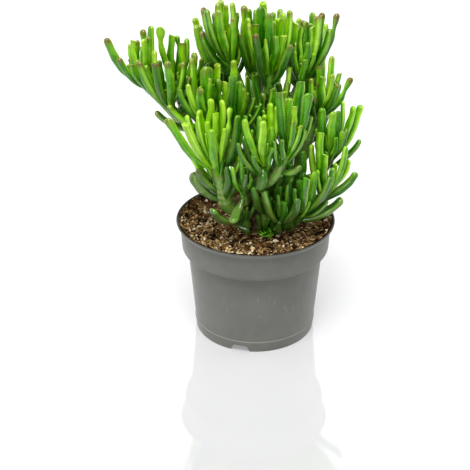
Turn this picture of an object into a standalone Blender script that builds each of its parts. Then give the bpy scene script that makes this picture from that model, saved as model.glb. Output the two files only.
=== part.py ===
"""Potted gollum jade (Crassula ovata 'Gollum') in a flared plastic nursery pot.

Metres, +Z up. The pot stands on z = 0 with its axis at the origin, and -Y is the front.
Sizes and places below are in millimetres, and are turned into metres as each mesh is made.
"""

import math
import random

import bmesh
import bpy
import numpy as np
from mathutils import Vector, noise

MM = 0.001
# Left between parts that touch in life
GAP = 0.3

# Pot: a thin moulded wall with a foot band, a stepped upper band and a rolled lip
POT_SIDES = 36
POT_WALL = 1.05
FLOOR_WALL = 1.4
EDGE_ROUND = 0.7
FOOT_RADIUS = 45.6
FOOT_RING_WIDTH = 2.0
FOOT_BAND_TOP = 8.8
FOOT_BAND_PROUD = 0.4
STEP_Z = 67.6
BODY_TOP_RADIUS = 51.3
BAND_BOTTOM_RADIUS = 55.9
BAND_TOP_RADIUS = 57.1
BAND_TOP_Z = 88.8
LIP_RADIUS = 60.0
LIP_THICKNESS = 1.2
POT_HEIGHT = 91.5
CHANNEL_Z = 5.6
CHANNEL_INNER_RADIUS = 22.5
CENTRE_PAD_RADIUS = 21.0
NOTCH_HEADING = 255.3
NOTCH_WIDTH = (15.4, 10.0)
NOTCH_HEIGHT = 5.2
DRAIN_HOLE_RADIUS = 4.0
DRAIN_HOLE_SIDES = 12
DRAIN_HOLE_FROM_AXIS = 34.0
# How far a cutter reaches past what it cuts
REACH = 1.0

# Soil: fills the pot, banked up at the wall to just under the lip, with a hole that the trunk stands in
SOIL_SIDES = 36
SOIL_LEVEL = 82.0
SOIL_RINGS = (50, 44, 34, 24)
LUMP_HEIGHT = 1.5
LUMP_SIZES = (7.0, 3.5)
HEAP_HEIGHT = 1.5
HEAP_WIDTH = 17.3
EDGE_RISE = 9.0
EDGE_RISE_WIDTH = 4.0
TRUNK_FOOT = (3.0, -4.0, 52.0)
TRUNK_RADIUS = 12.0
TRUNK_HOLE_RADIUS = 12.45

# Wood: forks as name: (parent fork, place, radius); every limb runs from its parent to the fork
FORKS = {
    "foot": (None, TRUNK_FOOT, TRUNK_RADIUS),
    "collar": ("foot", (3, -4, 84), 11.6),
    "low": ("collar", (2, -4, 92), 10.0),
    "waist": ("low", (0, -3, 106), 8.6),
    "heart": ("waist", (-3, 3, 124), 7.2),
    "elbow": ("waist", (-5, -17, 122), 5.4),
    "front": ("elbow", (3, -29, 132), 4.8),
    "left": ("heart", (-30, 2, 148), 5.4),
    "left_tip": ("left", (-47, 2, 161), 4.6),
    "crown": ("heart", (-2, 12, 160), 6.2),
    "crown_right": ("crown", (14, 9, 174), 4.8),
    "right": ("waist", (24, 3, 118), 5.2),
    "low_right": ("low", (19, -6, 95), 4.8),
    "back": ("waist", (0, 22, 112), 5.6),
    "back_high": ("heart", (5, 24, 154), 4.8),
}
TRUNK_SIDES = 12
LIMB_SIDES = 7
STEM_SIDES = 5
STUB_TAPER = (1.12, 1.06, 1)
STEM_TAPER = (0.98, 1, 0.94, 0.62)
COLLAR_LENGTH = 8.0
STEM_CLEARANCE = 0.7
PATH_STEPS = 24

# Leafy shoots: name, fork, foot of the stem, top of the stem, stem radius, and its leading leaves.
# A leaf is (place along the stem, heading, lean, length) and its radius where that is unusual.
SHOOTS = [
    ("front_left", "waist", (-22, -27, 117), (-32, -37, 165), 5.4, [
        (0.05, 185, 45, 33, 4.6), (0.1, 345, 18, 38, 4.4), (0.05, 275, 20, 35), (0.3, 190, 45, 28, 3.3),
        (0.5, 140, 75, 26), (0.6, 155, 65, 32), (0.6, 260, 25, 44), (0.65, 345, 20, 45), (0.7, 20, 35, 41),
        (0.85, 190, 45, 45), (0.9, 225, 40, 40), (0.9, 185, 30, 35), (0.95, 175, 15, 32, 3.2),
        (0.9, 325, 20, 41, 2.6), (0.95, 5, 10, 39), (1, 255, 20, 26), (1, 310, 10, 29),
        (0.95, 285, 35, 30, 2.0)]),
    ("left_mid", "left", (-32, -14, 166), (-39, -20, 184), 3.8, [
        (0.4, 200, 55, 35), (0.6, 195, 35, 33), (0.7, 220, 25, 34), (0.85, 255, 25, 30, 3.4),
        (0.85, 40, 5, 37, 4.2), (0.95, 50, 20, 37), (0.2, 170, 70, 41)]),
    ("mid", "heart", (-16, -12, 161), (-18, -16, 179), 3.6, [
        (0.6, 190, 15, 39), (0.85, 240, 15, 34), (0.9, 60, 5, 29), (0.75, 350, 15, 29, 3.2), (0.5, 35, 25, 27),
        (0.4, 35, 40, 28)]),
    ("left_back", "left_tip", (-53, 8, 176), (-58, 8, 196), 3.6, [
        (0.6, 210, 15, 52, 2.4), (0.85, 80, 5, 38, 2.2), (0.95, 335, 10, 33), (1, 25, 15, 34),
        (0.85, 40, 35, 28, 3.2), (0.6, 30, 40, 29), (0.9, 290, 30, 25, 3.0), (1, 305, 40, 26),
        (0.9, 315, 35, 29)]),
    ("left_low", "left_tip", (-55, -6, 175), (-66, -8, 189), 3.8, [
        (0.6, 205, 30, 45), (0.75, 245, 25, 41), (0.85, 180, 25, 32), (0.95, 130, 10, 30), (0.6, 110, 25, 32),
        (0.3, 235, 10, 29, 3.4)]),
    ("left_tip", "left_tip", (-72, 2, 189), (-83, 2, 200), 3.3, [
        (0.6, 195, 35, 48), (0.7, 220, 40, 34), (0.9, 180, 15, 30, 2.0), (1, 130, 5, 30, 2.1),
        (1, 285, 30, 25, 1.9), (1, 45, 15, 33), (0.9, 50, 15, 41)]),
    ("crown_left", "crown", (-11, 9, 190), (-22, 7, 222), 3.8, [
        (0.4, 195, 35, 42), (0.7, 185, 25, 45), (0.75, 215, 25, 45), (0.8, 180, 20, 42, 2.7),
        (0.85, 225, 25, 40, 2.5), (0.95, 205, 10, 37), (0.9, 250, 25, 41), (0.95, 95, 10, 33, 2.2),
        (0.9, 335, 5, 38), (0.75, 40, 10, 33), (0.7, 260, 20, 42, 2.5)]),
    ("crown_mid", "crown", (1, 19, 187), (0, 18, 206), 3.5, [
        (0.6, 180, 10, 53, 2.9), (0.8, 135, 10, 45, 2.5), (0.85, 235, 15, 43, 2.7), (0.85, 265, 20, 41, 2.5),
        (0.9, 105, 10, 42, 2.2), (1, 310, 5, 45), (0.6, 235, 30, 44, 2.4)]),
    ("crown_front", "crown_right", (8, 4, 191), (11, 0, 211), 3.8, [
        (0.25, 230, 20, 46), (0.8, 235, 5, 45), (0.9, 80, 5, 35), (0.9, 55, 15, 38, 2.1), (0.9, 280, 20, 31),
        (1, 305, 20, 29), (0.4, 310, 25, 40), (0.8, 5, 15, 47), (0.8, 45, 15, 43, 2.7)]),
    ("crown_right", "crown_right", (30, 8, 188), (36, 6, 207), 3.8, [
        (0.9, 105, 15, 37, 2.3), (0.95, 355, 5, 33), (1, 35, 10, 42), (0.95, 335, 10, 42), (0.7, 0, 25, 40),
        (0.5, 0, 24, 56, 3.0), (0.6, 100, 15, 33), (0.5, 170, 10, 30), (0.35, 275, 30, 29),
        (0.8, 275, 20, 30)]),
    ("right_upper", "right", (41, 6, 161), (47, 5, 181), 3.6, [
        (0.5, 215, 15, 36), (0.8, 240, 20, 32), (0.9, 250, 10, 34), (0.9, 270, 25, 31), (0.9, 25, 15, 28),
        (0.9, 25, 25, 28), (0.5, 15, 35, 38)]),
    ("front_mid", "front", (14, -38, 146), (24, -38, 167), 3.7, [
        (0.95, 220, 15, 46), (0.9, 40, 10, 49), (0.95, 0, 15, 43), (1, 275, 15, 35, 2.3), (1, 40, 15, 25),
        (0.45, 5, 30, 37), (0.1, 330, 65, 19, 3.4), (0.9, 105, 15, 36), (0.3, 245, 30, 28, 1.9),
        (0.4, 265, 25, 25)]),
    ("front_low", "front", (3, -40, 141), (6, -42, 161), 3.3, [
        (0.4, 160, 15, 32), (0.85, 230, 10, 36), (0.8, 135, 20, 25), (0.9, 330, 10, 26), (0.3, 145, 35, 19)]),
    ("inner_mid", "heart", (8, -2, 148), (8, -2, 169), 3.6, [
        (0.6, 235, 10, 35), (0.8, 350, 20, 39), (0.9, 25, 20, 46, 2.8),
        (0.6, 5, 30, 43), (0.5, 290, 35, 31), (0.4, 210, 35, 30)]),
    ("inner_right", "right", (26, 14, 137), (33, 13, 156), 3.4, [
        (0.7, 55, 5, 50, 2.8), (0.9, 335, 10, 48, 2.6)]),
    ("right_mid", "right", (49, 2, 128), (58, -2, 148), 3.8, [
        (0.4, 235, 5, 49), (0.6, 270, 15, 44), (0.85, 305, 5, 35), (0.95, 45, 10, 38, 2.0), (1, 290, 30, 22),
        (0.8, 15, 20, 40), (0.6, 10, 30, 46), (0.3, 340, 45, 35, 2.4), (0.6, 350, 25, 31)]),
    ("right_low", "low_right", (39, -10, 105), (54, -14, 121), 3.8, [
        (0.85, 0, 30, 31), (0.5, 10, 55, 34, 3.4), (1, 245, 20, 36), (0.9, 235, 25, 28), (0.3, 85, 15, 28),
        (1, 45, 15, 21), (0.6, 240, 5, 54, 3.2)]),
    ("right_stem", "low_right", (27, -18, 96), (34, -22, 111), 3.9, [
        (0.6, 315, 5, 35), (0.9, 30, 15, 27), (0.25, 5, 65, 38, 4.2), (0.6, 335, 55, 27), (0.3, 280, 8, 38)]),
    ("low_front", "low", (17, -18, 92), (20, -24, 104), 3.1, [
        (0.8, 305, 15, 34, 3.3), (0.8, 250, 25, 29), (0.5, 275, 28, 27, 3.0), (0.4, 350, 30, 29, 3.0)]),
    ("heart", "low", (6, -18, 99), (9, -20, 114), 3.6, [
        (0.5, 285, 5, 29, 3.1), (0.6, 335, 20, 30, 3.2), (0.8, 350, 35, 31, 3.2), (0.5, 5, 35, 39)]),
    ("low_left", "elbow", (-9, -28, 120), (-9, -32, 130), 3.3, [
        (0.8, 290, 15, 24), (0.6, 243, 122, 24, 3.6)]),
    ("trunk_left", "low", (-7, -16, 95), (-9, -20, 101), 3.2, [
        (0.9, 222, 52, 36, 3.8), (0.8, 240, 30, 16)]),
    ("back_left", "back", (-30, 28, 138), (-44, 40, 158), 3.8, []),
    ("back_low_left", "back", (-22, 34, 112), (-38, 50, 124), 3.8, []),
    ("back_mid", "back", (0, 36, 130), (2, 54, 150), 3.8, []),
    ("back_right", "back", (34, 26, 132), (46, 38, 152), 3.8, []),
    ("back_low_right", "back", (26, 36, 108), (36, 52, 120), 3.8, []),
    ("crown_back", "back_high", (6, 34, 182), (8, 44, 202), 3.8, []),
    ("crown_back_right", "back_high", (28, 28, 178), (38, 36, 196), 3.6, []),
    ("crown_back_left", "back_high", (-20, 28, 178), (-30, 36, 196), 3.6, []),
]

# Leaves: fleshy tubes that leave the stem outwards and bow upwards
LEAF_SIDES = 5
LONG_LEAF = 43
LONG_LEAF_RINGS = (0, 0.33, 0.7, 1)
LEAF_RINGS = (0, 0.45, 1)
# How far an outward leaf's root slides down the stem, and how deep it is sunk
ROOT_DROP = 0.45
ROOT_INSET = 0.4
# Bow of an upright leaf, and how much more an outward one bows, as shares of its length
BOW = 0.07
OUTWARD_BOW = 0.17
NECK = 0.43
TIP_NARROWING = 0.2
# A five-sided leaf is widened so that it holds as much as a round one
LEAF_WIDEN = 0.98
LEAF_CLEARANCE = 0.9
LEAF_SAMPLES = 16
# Leaves of one shoot may touch near their roots, up to this sample
FREE_FROM = 7
GOLDEN_ANGLE = 137.5
LEAVES_PER_SHOOT = 9
FEW_LEAVES = {"low_left": 3, "low_front": 6}
SEED = 7
# Turns of heading and lean, and shares of the length, tried in order to bend a leaf clear
BENDS = [(0, 0, 1), (9, 0, 1), (-9, 0, 1), (0, 7, 1), (0, -7, 1), (18, 0, 0.95), (-18, 0, 0.95),
         (9, 7, 0.85), (-9, -7, 0.85), (26, 0, 0.8), (-26, 0, 0.8), (0, 0, 0.75), (0, 0, 0.6)]


def material(name, colour, roughness, metallic=0.0):
    made = bpy.data.materials.new(name)
    made.use_nodes = True
    shader = made.node_tree.nodes["Principled BSDF"]
    shader.inputs["Base Color"].default_value = (*colour, 1.0)
    shader.inputs["Roughness"].default_value = roughness
    shader.inputs["Metallic"].default_value = metallic
    return made


def mesh_object(name, vertices, faces):
    """An object from vertices in millimetres, kept out of the scene."""
    mesh = bpy.data.meshes.new(name)
    mesh.from_pydata([Vector(v) * MM for v in vertices], [], faces)
    return bpy.data.objects.new(name, mesh)


def show(obj, finish):
    """Put an object in the scene with its material and smooth shading."""
    bpy.context.scene.collection.objects.link(obj)
    obj.data.materials.clear()
    obj.data.materials.append(finish)
    obj.data.shade_smooth()
    obj.data.set_sharp_from_angle(angle=math.radians(40))
    return obj


def aim(heading, lean):
    """Unit vector: heading in degrees from +X towards +Y, lean in degrees from upright."""
    h = math.radians(heading)
    l = math.radians(lean)
    return Vector((math.cos(h) * math.sin(l), math.sin(h) * math.sin(l), math.cos(l)))


def ease(t):
    t = min(max(t, 0.0), 1.0)
    return t * t * (3 - 2 * t)


def tube(points, radii, sides, side_axis, aims=(None, None)):
    """Closed tube through the points, with its two ends squared off to aims."""
    vertices = []
    faces = []
    count = len(points)
    side = Vector(side_axis)
    for i, (point, radius) in enumerate(zip(points, radii)):
        along = (points[min(i + 1, count - 1)] - points[max(i - 1, 0)]).normalized()
        if i == 0 and aims[0]:
            along = aims[0]
        if i == count - 1 and aims[1]:
            along = aims[1]
        side = (side - along * side.dot(along)).normalized()
        up = along.cross(side)
        for k in range(sides):
            turn = math.tau * k / sides
            vertices.append(point + (side * math.cos(turn) + up * math.sin(turn)) * radius)
        if i:
            a = (i - 1) * sides
            for k in range(sides):
                n = (k + 1) % sides
                faces.append((a + k, a + n, a + sides + n, a + sides + k))
    faces.append(tuple(reversed(range(sides))))
    faces.append(tuple(range((count - 1) * sides, count * sides)))
    return vertices, faces


def lathe(profile, sides):
    """Closed body turned about Z from (radius, z) points that start and end on the axis."""
    vertices = []
    faces = []
    rings = []
    for radius, z in profile:
        if radius == 0:
            rings.append([len(vertices)])
            vertices.append(Vector((0, 0, z)))
            continue
        rings.append(list(range(len(vertices), len(vertices) + sides)))
        for k in range(sides):
            turn = math.tau * k / sides
            vertices.append(Vector((radius * math.cos(turn), radius * math.sin(turn), z)))
    for lower, upper in zip(rings, rings[1:]):
        for k in range(sides):
            n = (k + 1) % sides
            below = (lower[k % len(lower)], lower[n % len(lower)])
            above = (upper[n % len(upper)], upper[k % len(upper)])
            faces.append(tuple(dict.fromkeys(below + above)))
    return vertices, faces


def cut(obj, cutters):
    """Take the cutters away from the object, and remove them."""
    bpy.context.scene.collection.objects.link(obj)
    for cutter in cutters:
        bpy.context.scene.collection.objects.link(cutter)
        hole = obj.modifiers.new("Hole", "BOOLEAN")
        hole.operation = "DIFFERENCE"
        hole.object = cutter
    apply_modifiers(obj)
    bpy.context.scene.collection.objects.unlink(obj)
    for cutter in cutters:
        bpy.data.objects.remove(cutter)


def apply_modifiers(obj):
    bpy.context.view_layer.update()
    evaluated = obj.evaluated_get(bpy.context.evaluated_depsgraph_get())
    obj.data = bpy.data.meshes.new_from_object(evaluated)
    obj.modifiers.clear()


def fuse(name, bodies, solver="EXACT"):
    """One closed body from overlapping closed bodies, without scraps or sealed hollows."""
    joined, *others = [mesh_object(f"{name}_{k}", *body) for k, body in enumerate(bodies)]
    group = bpy.data.collections.new(f"{name}_bodies")
    bpy.context.scene.collection.children.link(group)
    bpy.context.scene.collection.objects.link(joined)
    for other in others:
        group.objects.link(other)
    union = joined.modifiers.new("Join", "BOOLEAN")
    union.operation = "UNION"
    union.operand_type = "COLLECTION"
    union.collection = group
    union.solver = solver
    apply_modifiers(joined)
    for other in others:
        bpy.data.objects.remove(other)
    bpy.data.collections.remove(group)
    bpy.context.scene.collection.objects.unlink(joined)
    keep_outer_shell(joined.data)
    joined.name = name
    return joined


def keep_outer_shell(mesh):
    """Keep the one connected shell that reaches widest, and drop scraps and sealed hollows."""
    shape = bmesh.new()
    shape.from_mesh(mesh)
    left = set(shape.faces)
    shells = []
    while left:
        shell = [left.pop()]
        for face in shell:
            near = {f for edge in face.edges for f in edge.link_faces} & left
            left -= near
            shell.extend(near)
        shells.append(shell)
    shells.sort(key=lambda faces: sum(face.calc_area() for face in faces))
    for shell in shells[:-1]:
        bmesh.ops.delete(shape, geom=shell, context="FACES")
    shape.to_mesh(mesh)
    shape.free()


def inner_wall_radius(z):
    """Inner radius of the pot's upper band at a height."""
    share = (z - STEP_Z) / (BAND_TOP_Z - STEP_Z)
    return BAND_BOTTOM_RADIUS + (BAND_TOP_RADIUS - BAND_BOTTOM_RADIUS) * share - POT_WALL


def pot():
    inner_foot = FOOT_RADIUS - EDGE_ROUND
    inner_body = BODY_TOP_RADIUS - POT_WALL
    inner_step = STEP_Z + POT_WALL
    inner_top = BAND_TOP_RADIUS - POT_WALL
    foot_band_radius = FOOT_RADIUS + 2 * FOOT_BAND_PROUD
    floor_top = CHANNEL_Z + FLOOR_WALL
    profile = [
        (0, 0), (CENTRE_PAD_RADIUS, 0), (CHANNEL_INNER_RADIUS, CHANNEL_Z),
        (FOOT_RADIUS - FOOT_RING_WIDTH, CHANNEL_Z), (FOOT_RADIUS - FOOT_RING_WIDTH, 0), (FOOT_RADIUS, 0),
        (foot_band_radius + FOOT_BAND_PROUD, FOOT_BAND_TOP),
        (foot_band_radius, FOOT_BAND_TOP + FOOT_BAND_PROUD),
        (BODY_TOP_RADIUS, STEP_Z - EDGE_ROUND), (BODY_TOP_RADIUS + EDGE_ROUND, STEP_Z),
        (BAND_BOTTOM_RADIUS - EDGE_ROUND, STEP_Z + EDGE_ROUND),
        (BAND_BOTTOM_RADIUS, STEP_Z + 2 * EDGE_ROUND), (BAND_TOP_RADIUS, BAND_TOP_Z),
        (LIP_RADIUS, POT_HEIGHT - LIP_THICKNESS), (LIP_RADIUS, POT_HEIGHT),
        (BAND_TOP_RADIUS, POT_HEIGHT), (inner_top, POT_HEIGHT - LIP_THICKNESS),
        (inner_wall_radius(STEP_Z), inner_step + EDGE_ROUND), (inner_body, inner_step),
        (inner_foot, floor_top), (CHANNEL_INNER_RADIUS + FLOOR_WALL, floor_top),
        (CENTRE_PAD_RADIUS + FLOOR_WALL, FLOOR_WALL), (0, FLOOR_WALL)]
    body = mesh_object("pot", *lathe(profile, POT_SIDES))
    cutters = []
    for turn in (0, 120, 240):
        out = aim(NOTCH_HEADING + turn, 90)
        across = aim(NOTCH_HEADING + turn + 90, 90)
        bottom, top = (width / 2 for width in NOTCH_WIDTH)
        outline = [(-bottom, -REACH), (bottom, -REACH), (top, NOTCH_HEIGHT), (-top, NOTCH_HEIGHT)]
        depths = (FOOT_RADIUS - FOOT_RING_WIDTH - REACH, FOOT_RADIUS + FOOT_RING_WIDTH + REACH)
        vertices = [out * depth + across * x + Vector((0, 0, z)) for depth in depths for x, z in outline]
        faces = [(3, 2, 1, 0), (4, 5, 6, 7), (0, 1, 5, 4), (1, 2, 6, 5), (2, 3, 7, 6), (3, 0, 4, 7)]
        cutters.append(mesh_object("notch", vertices, faces))
        drain = out * DRAIN_HOLE_FROM_AXIS
        ends = [drain + Vector((0, 0, z)) for z in (CHANNEL_Z - REACH, floor_top + REACH)]
        cutters.append(mesh_object("drain", *tube(ends, [DRAIN_HOLE_RADIUS] * 2, DRAIN_HOLE_SIDES, (1, 0, 0))))
    cut(body, cutters)
    return body


def soil_height(x, y):
    """Height of the loose soil: lumps, banked up at the wall and heaped a little round the trunk."""
    from_wall = BAND_TOP_RADIUS - math.hypot(x, y)
    from_trunk = math.hypot(x - TRUNK_FOOT[0], y - TRUNK_FOOT[1])
    heap = HEAP_HEIGHT * math.exp(-0.5 * (from_trunk / HEAP_WIDTH) ** 2)
    coarse, fine = LUMP_SIZES
    lumps = noise.noise(Vector((x, y, 0)) / coarse) + 0.6 * noise.noise(Vector((x, y, 40)) / fine)
    return SOIL_LEVEL + heap + LUMP_HEIGHT * lumps + EDGE_RISE * math.exp(-from_wall / EDGE_RISE_WIDTH)


def soil():
    foot = (FOOT_RADIUS - FOOT_RING_WIDTH, CHANNEL_Z + FLOOR_WALL + GAP)
    shelf = STEP_Z + POT_WALL + EDGE_ROUND + GAP
    rim = inner_wall_radius(SOIL_LEVEL) - GAP
    wall = [(0, foot[1]), foot, (BODY_TOP_RADIUS - POT_WALL - 1.3 * GAP, shelf), (rim - 3 * GAP, shelf)]
    surface = [rim, *SOIL_RINGS, TRUNK_HOLE_RADIUS]
    hole = [(TRUNK_HOLE_RADIUS, TRUNK_FOOT[2] - GAP), (0, TRUNK_FOOT[2] - GAP)]
    vertices, faces = lathe(wall + [(radius, SOIL_LEVEL) for radius in surface] + hole, SOIL_SIDES)
    first = 1 + SOIL_SIDES * (len(wall) - 1)
    last = first + SOIL_SIDES * len(surface)
    for index in range(first, len(vertices)):
        vertex = vertices[index]
        towards_trunk = min((rim - math.hypot(vertex.x, vertex.y)) / (rim - TRUNK_HOLE_RADIUS), 1)
        vertex.x += TRUNK_FOOT[0] * towards_trunk
        vertex.y += TRUNK_FOOT[1] * towards_trunk
        if index < last:
            vertex.z = soil_height(vertex.x, vertex.y)
    return mesh_object("soil", vertices, faces)


def curve_between(start, start_aim, end, end_aim, count):
    """Points on a smooth curve with the given directions at its ends."""
    pull = (end - start).length * 0.9
    points = []
    for i in range(count):
        t = i / (count - 1)
        s = 1 - t
        ends = start * (s * s * (1 + 2 * t)) + end * (t * t * (3 - 2 * t))
        points.append(ends + start_aim * (pull * t * s * s) - end_aim * (pull * t * t * s))
    return points


def fork_aim(name):
    parent, place, _ = FORKS[name]
    if parent is None:
        return Vector((0, 0, 1))
    return (Vector(place) - Vector(FORKS[parent][1])).normalized()


def limb(name):
    """Points and radii of the limb that ends at a fork."""
    parent, place, radius = FORKS[name]
    start = Vector(FORKS[parent][1])
    count = 2 if name in ("collar", "low") else 4
    points = curve_between(start, fork_aim(parent), Vector(place), fork_aim(name), count)
    first = min(FORKS[parent][2], radius * 1.35)
    radii = [first + (radius - first) * i / (count - 1) for i in range(count)]
    return points, radii


def stem_path(shoot):
    """Fine points from a shoot's fork to the foot of its stem, and on to the stem's top."""
    _, fork, foot, top, _, _ = shoot
    start, foot, top = Vector(FORKS[fork][1]), Vector(foot), Vector(top)
    start_aim = (fork_aim(fork) + (foot - start).normalized()).normalized()
    path = curve_between(start, start_aim, foot, (top - foot).normalized(), PATH_STEPS + 1)
    return path, [foot.lerp(top, share) for share in (0.25, 0.5, 0.75, 1)]


def collar_step(shoot):
    """First step of the path, near the stem's foot, from which the stem stands clear of all other wood."""
    others = [along_path(*limb(name)) for name in FORKS if FORKS[name][0]]
    for other in SHOOTS:
        if other[0] != shoot[0]:
            path, stem = stem_path(other)
            others.append(samples(path + stem, [other[4]] * (len(path) + len(stem))))
    others = np.concatenate(others)
    path, stem = stem_path(shoot)
    length = sum((b - a).length for a, b in zip(path, path[1:]))
    rows = samples(path + stem, [shoot[4]] * (len(path) + len(stem)))
    step = round(max(1 - COLLAR_LENGTH / length, 0.3) * PATH_STEPS)
    while step < PATH_STEPS - 1 and nearest(rows[step:], others) < STEM_CLEARANCE:
        step += 1
    return step


def split_stem(shoot):
    """Wood up to a shoot's collar, and its own stem above: each as (points, radii, end directions)."""
    radius = shoot[4]
    path, stem = stem_path(shoot)
    edge = collar_step(shoot)
    across = (path[edge + 1] - path[edge - 1]).normalized()
    wood_points = [path[0], path[edge // 2], path[edge] - across * GAP / 2]
    wood_radii = [radius * taper for taper in STUB_TAPER]
    stem_points = [path[edge] + across * GAP / 2, path[-1], stem[1], stem[-1]]
    stem_radii = [radius * taper for taper in STEM_TAPER]
    if (path[-1] - path[edge]).length <= radius:
        del stem_points[1], stem_radii[1]
    stem_aim = (stem[-1] - path[-1]).normalized()
    return (wood_points, wood_radii, (None, across)), (stem_points, stem_radii, (across, stem_aim))


def leaf_line(shoot, t, heading, lean, length, count):
    """Points of a leaf from inside the stem to its tip: the wider it leans, the lower its root."""
    _, _, foot, top, stem_radius, _ = shoot
    foot, top = Vector(foot), Vector(top)
    outward = math.sin(math.radians(min(lean, 90)))
    start = foot.lerp(top, t * (1 - ROOT_DROP * outward)) + aim(heading, 90) * stem_radius * ROOT_INSET
    tip = foot.lerp(top, t) + aim(heading, lean) * length
    bend = (start + tip) / 2 + aim(heading, lean + 90) * length * (BOW + OUTWARD_BOW * outward)
    points = []
    for i in range(count):
        u = i / (count - 1)
        points.append(start * ((1 - u) ** 2) + bend * (2 * u * (1 - u)) + tip * (u * u))
    return points


def leaf_radius(share, radius):
    """Slim where it leaves the stem, full from the middle up, blunt at the tip."""
    widening = NECK + (1 - NECK) * ease(share / 0.5)
    return radius * widening * (1 - TIP_NARROWING * ease((share - 0.88) / 0.12))


def usual_radius(length):
    return 1.25 + 0.042 * length


def samples(points, radii):
    """Points and radii as rows for the clearance test."""
    return np.array([(*point, radius) for point, radius in zip(points, radii)])


def along_path(points, radii, step=2.5):
    """Rows every few millimetres along a path."""
    rows = []
    for a, b, ra, rb in zip(points, points[1:], radii, radii[1:]):
        count = max(1, math.ceil((b - a).length / step))
        rows += [(*a.lerp(b, i / count), ra + (rb - ra) * i / count) for i in range(count)]
    rows.append((*points[-1], radii[-1]))
    return np.array(rows)


def nearest(rows, others):
    """Smallest gap between two sets of rows."""
    if not len(others):
        return math.inf
    apart = np.linalg.norm(rows[:, None, :3] - others[None, :, :3], axis=2)
    return float((apart - rows[:, None, 3] - others[None, :, 3]).min())


def clear_of_pot(rows):
    """True where a leaf stays above the soil and off the pot's lip."""
    from_axis = np.hypot(rows[:, 0], rows[:, 1])
    lowest = rows[:, 2] - rows[:, 3]
    over_soil = (from_axis < 50) & (lowest < SOIL_LEVEL + 4)
    near_lip = (from_axis >= 50) & (lowest < POT_HEIGHT + 1.5)
    return not (over_soil | near_lip).any()


def fit_leaf(shoot, leaf, placed, fixed, collar, must_fit):
    """A leaf bent clear of wood, other shoots and its neighbours, with its rows; None where none fits."""
    name, _, foot, top, _, _ = shoot
    t, heading, lean, length = leaf[:4]
    radius = leaf[4] if len(leaf) > 4 else usual_radius(length)
    others = np.concatenate([rows for owner, rows in placed if owner != name] + [fixed])
    near = length + math.dist(foot, top) + 15
    others = others[np.linalg.norm(others[:, :3] - np.array(foot), axis=1) < near]
    own = [rows[FREE_FROM:] for owner, rows in placed if owner == name]
    own = np.concatenate(own) if own else []
    fallback = None
    for turn, tilt, share in BENDS:
        bent = (heading + turn, max(lean + tilt, 0), length * share)
        points = leaf_line(shoot, t, *bent, LEAF_SAMPLES)
        radii = [leaf_radius(i / (LEAF_SAMPLES - 1), radius) * LEAF_WIDEN for i in range(LEAF_SAMPLES)]
        rows = samples(points, radii)
        if not clear_of_pot(rows) or nearest(rows, collar) < GAP or nearest(rows, others) < LEAF_CLEARANCE:
            continue
        if nearest(rows[FREE_FROM:], own) > 0:
            return (t, *bent, radius), rows
        if must_fit and fallback is None:
            fallback = (t, *bent, radius), rows
    return fallback


def grown_leaves(rng, count):
    """Leaves by rule: turned by the golden angle, upright at the stem's top and spreading below."""
    start = rng.uniform(0, 360)
    for k in range(count):
        down = (k + 0.4) / count
        lean = 10 + 48 * down ** 0.9 + rng.uniform(-6, 6)
        length = 29 + 15 * math.sin(math.pi * min(down + 0.15, 1)) + rng.uniform(-4, 4)
        yield (1 - 0.85 * down, (start + k * GOLDEN_ANGLE) % 360, lean, length)


def foliage(splits):
    """Every shoot's leaves as name: list of (place, heading, lean, length, radius)."""
    names = [shoot[0] for shoot in SHOOTS]
    limbs = [along_path(*limb(name)) for name in FORKS if FORKS[name][0]]
    collars = {name: along_path(*wood[:2]) for name, (wood, _) in zip(names, splits)}
    stems = {name: along_path(*stem[:2]) for name, (_, stem) in zip(names, splits)}
    fixed = {name: np.concatenate(limbs + [rows for other in names if other != name
                                           for rows in (collars[other], stems[other])]) for name in names}
    leaves = {name: [] for name in names}
    placed = []

    def place(shoot, leaf, must_fit):
        name = shoot[0]
        fitted = fit_leaf(shoot, leaf, placed, fixed[name], collars[name], must_fit)
        if fitted:
            leaves[name].append(fitted[0])
            placed.append((name, fitted[1]))

    for shoot in SHOOTS:
        for leaf in shoot[5]:
            place(shoot, leaf, True)
    for index, shoot in enumerate(SHOOTS):
        own = leaves[shoot[0]]
        wanted = FEW_LEAVES.get(shoot[0]) or max(LEAVES_PER_SHOOT, len(own) + 1)
        for leaf in grown_leaves(random.Random(SEED + index), wanted * 3):
            if len(own) < wanted:
                place(shoot, leaf, False)
    return leaves


def leaf_body(shoot, leaf):
    t, heading, lean, length, radius = leaf
    fine = leaf_line(shoot, t, heading, lean, length, 51)
    shares = LONG_LEAF_RINGS if length > LONG_LEAF else LEAF_RINGS
    points = [fine[round(50 * share)] for share in shares]
    radii = [leaf_radius(share, radius) * LEAF_WIDEN for share in shares]
    return tube(points, radii, LEAF_SIDES, aim(heading + 90, 90))


def trunk(splits):
    bodies = []
    for name, (parent, _, _) in FORKS.items():
        if parent:
            sides = TRUNK_SIDES if name == "collar" else LIMB_SIDES
            bodies.append(tube(*limb(name), sides, (0, 1, 0)))
    for (points, radii, ends), _ in splits:
        bodies.append(tube(points, radii, STEM_SIDES, (0, 1, 0), aims=ends))
    return fuse("trunk", bodies)


def shoot_body(shoot, split, leaves):
    _, (points, radii, ends) = split
    bodies = [tube(points, radii, STEM_SIDES, (0, 1, 0), aims=ends)]
    bodies += [leaf_body(shoot, leaf) for leaf in leaves]
    return fuse(f"shoot_{shoot[0]}", bodies)


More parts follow.
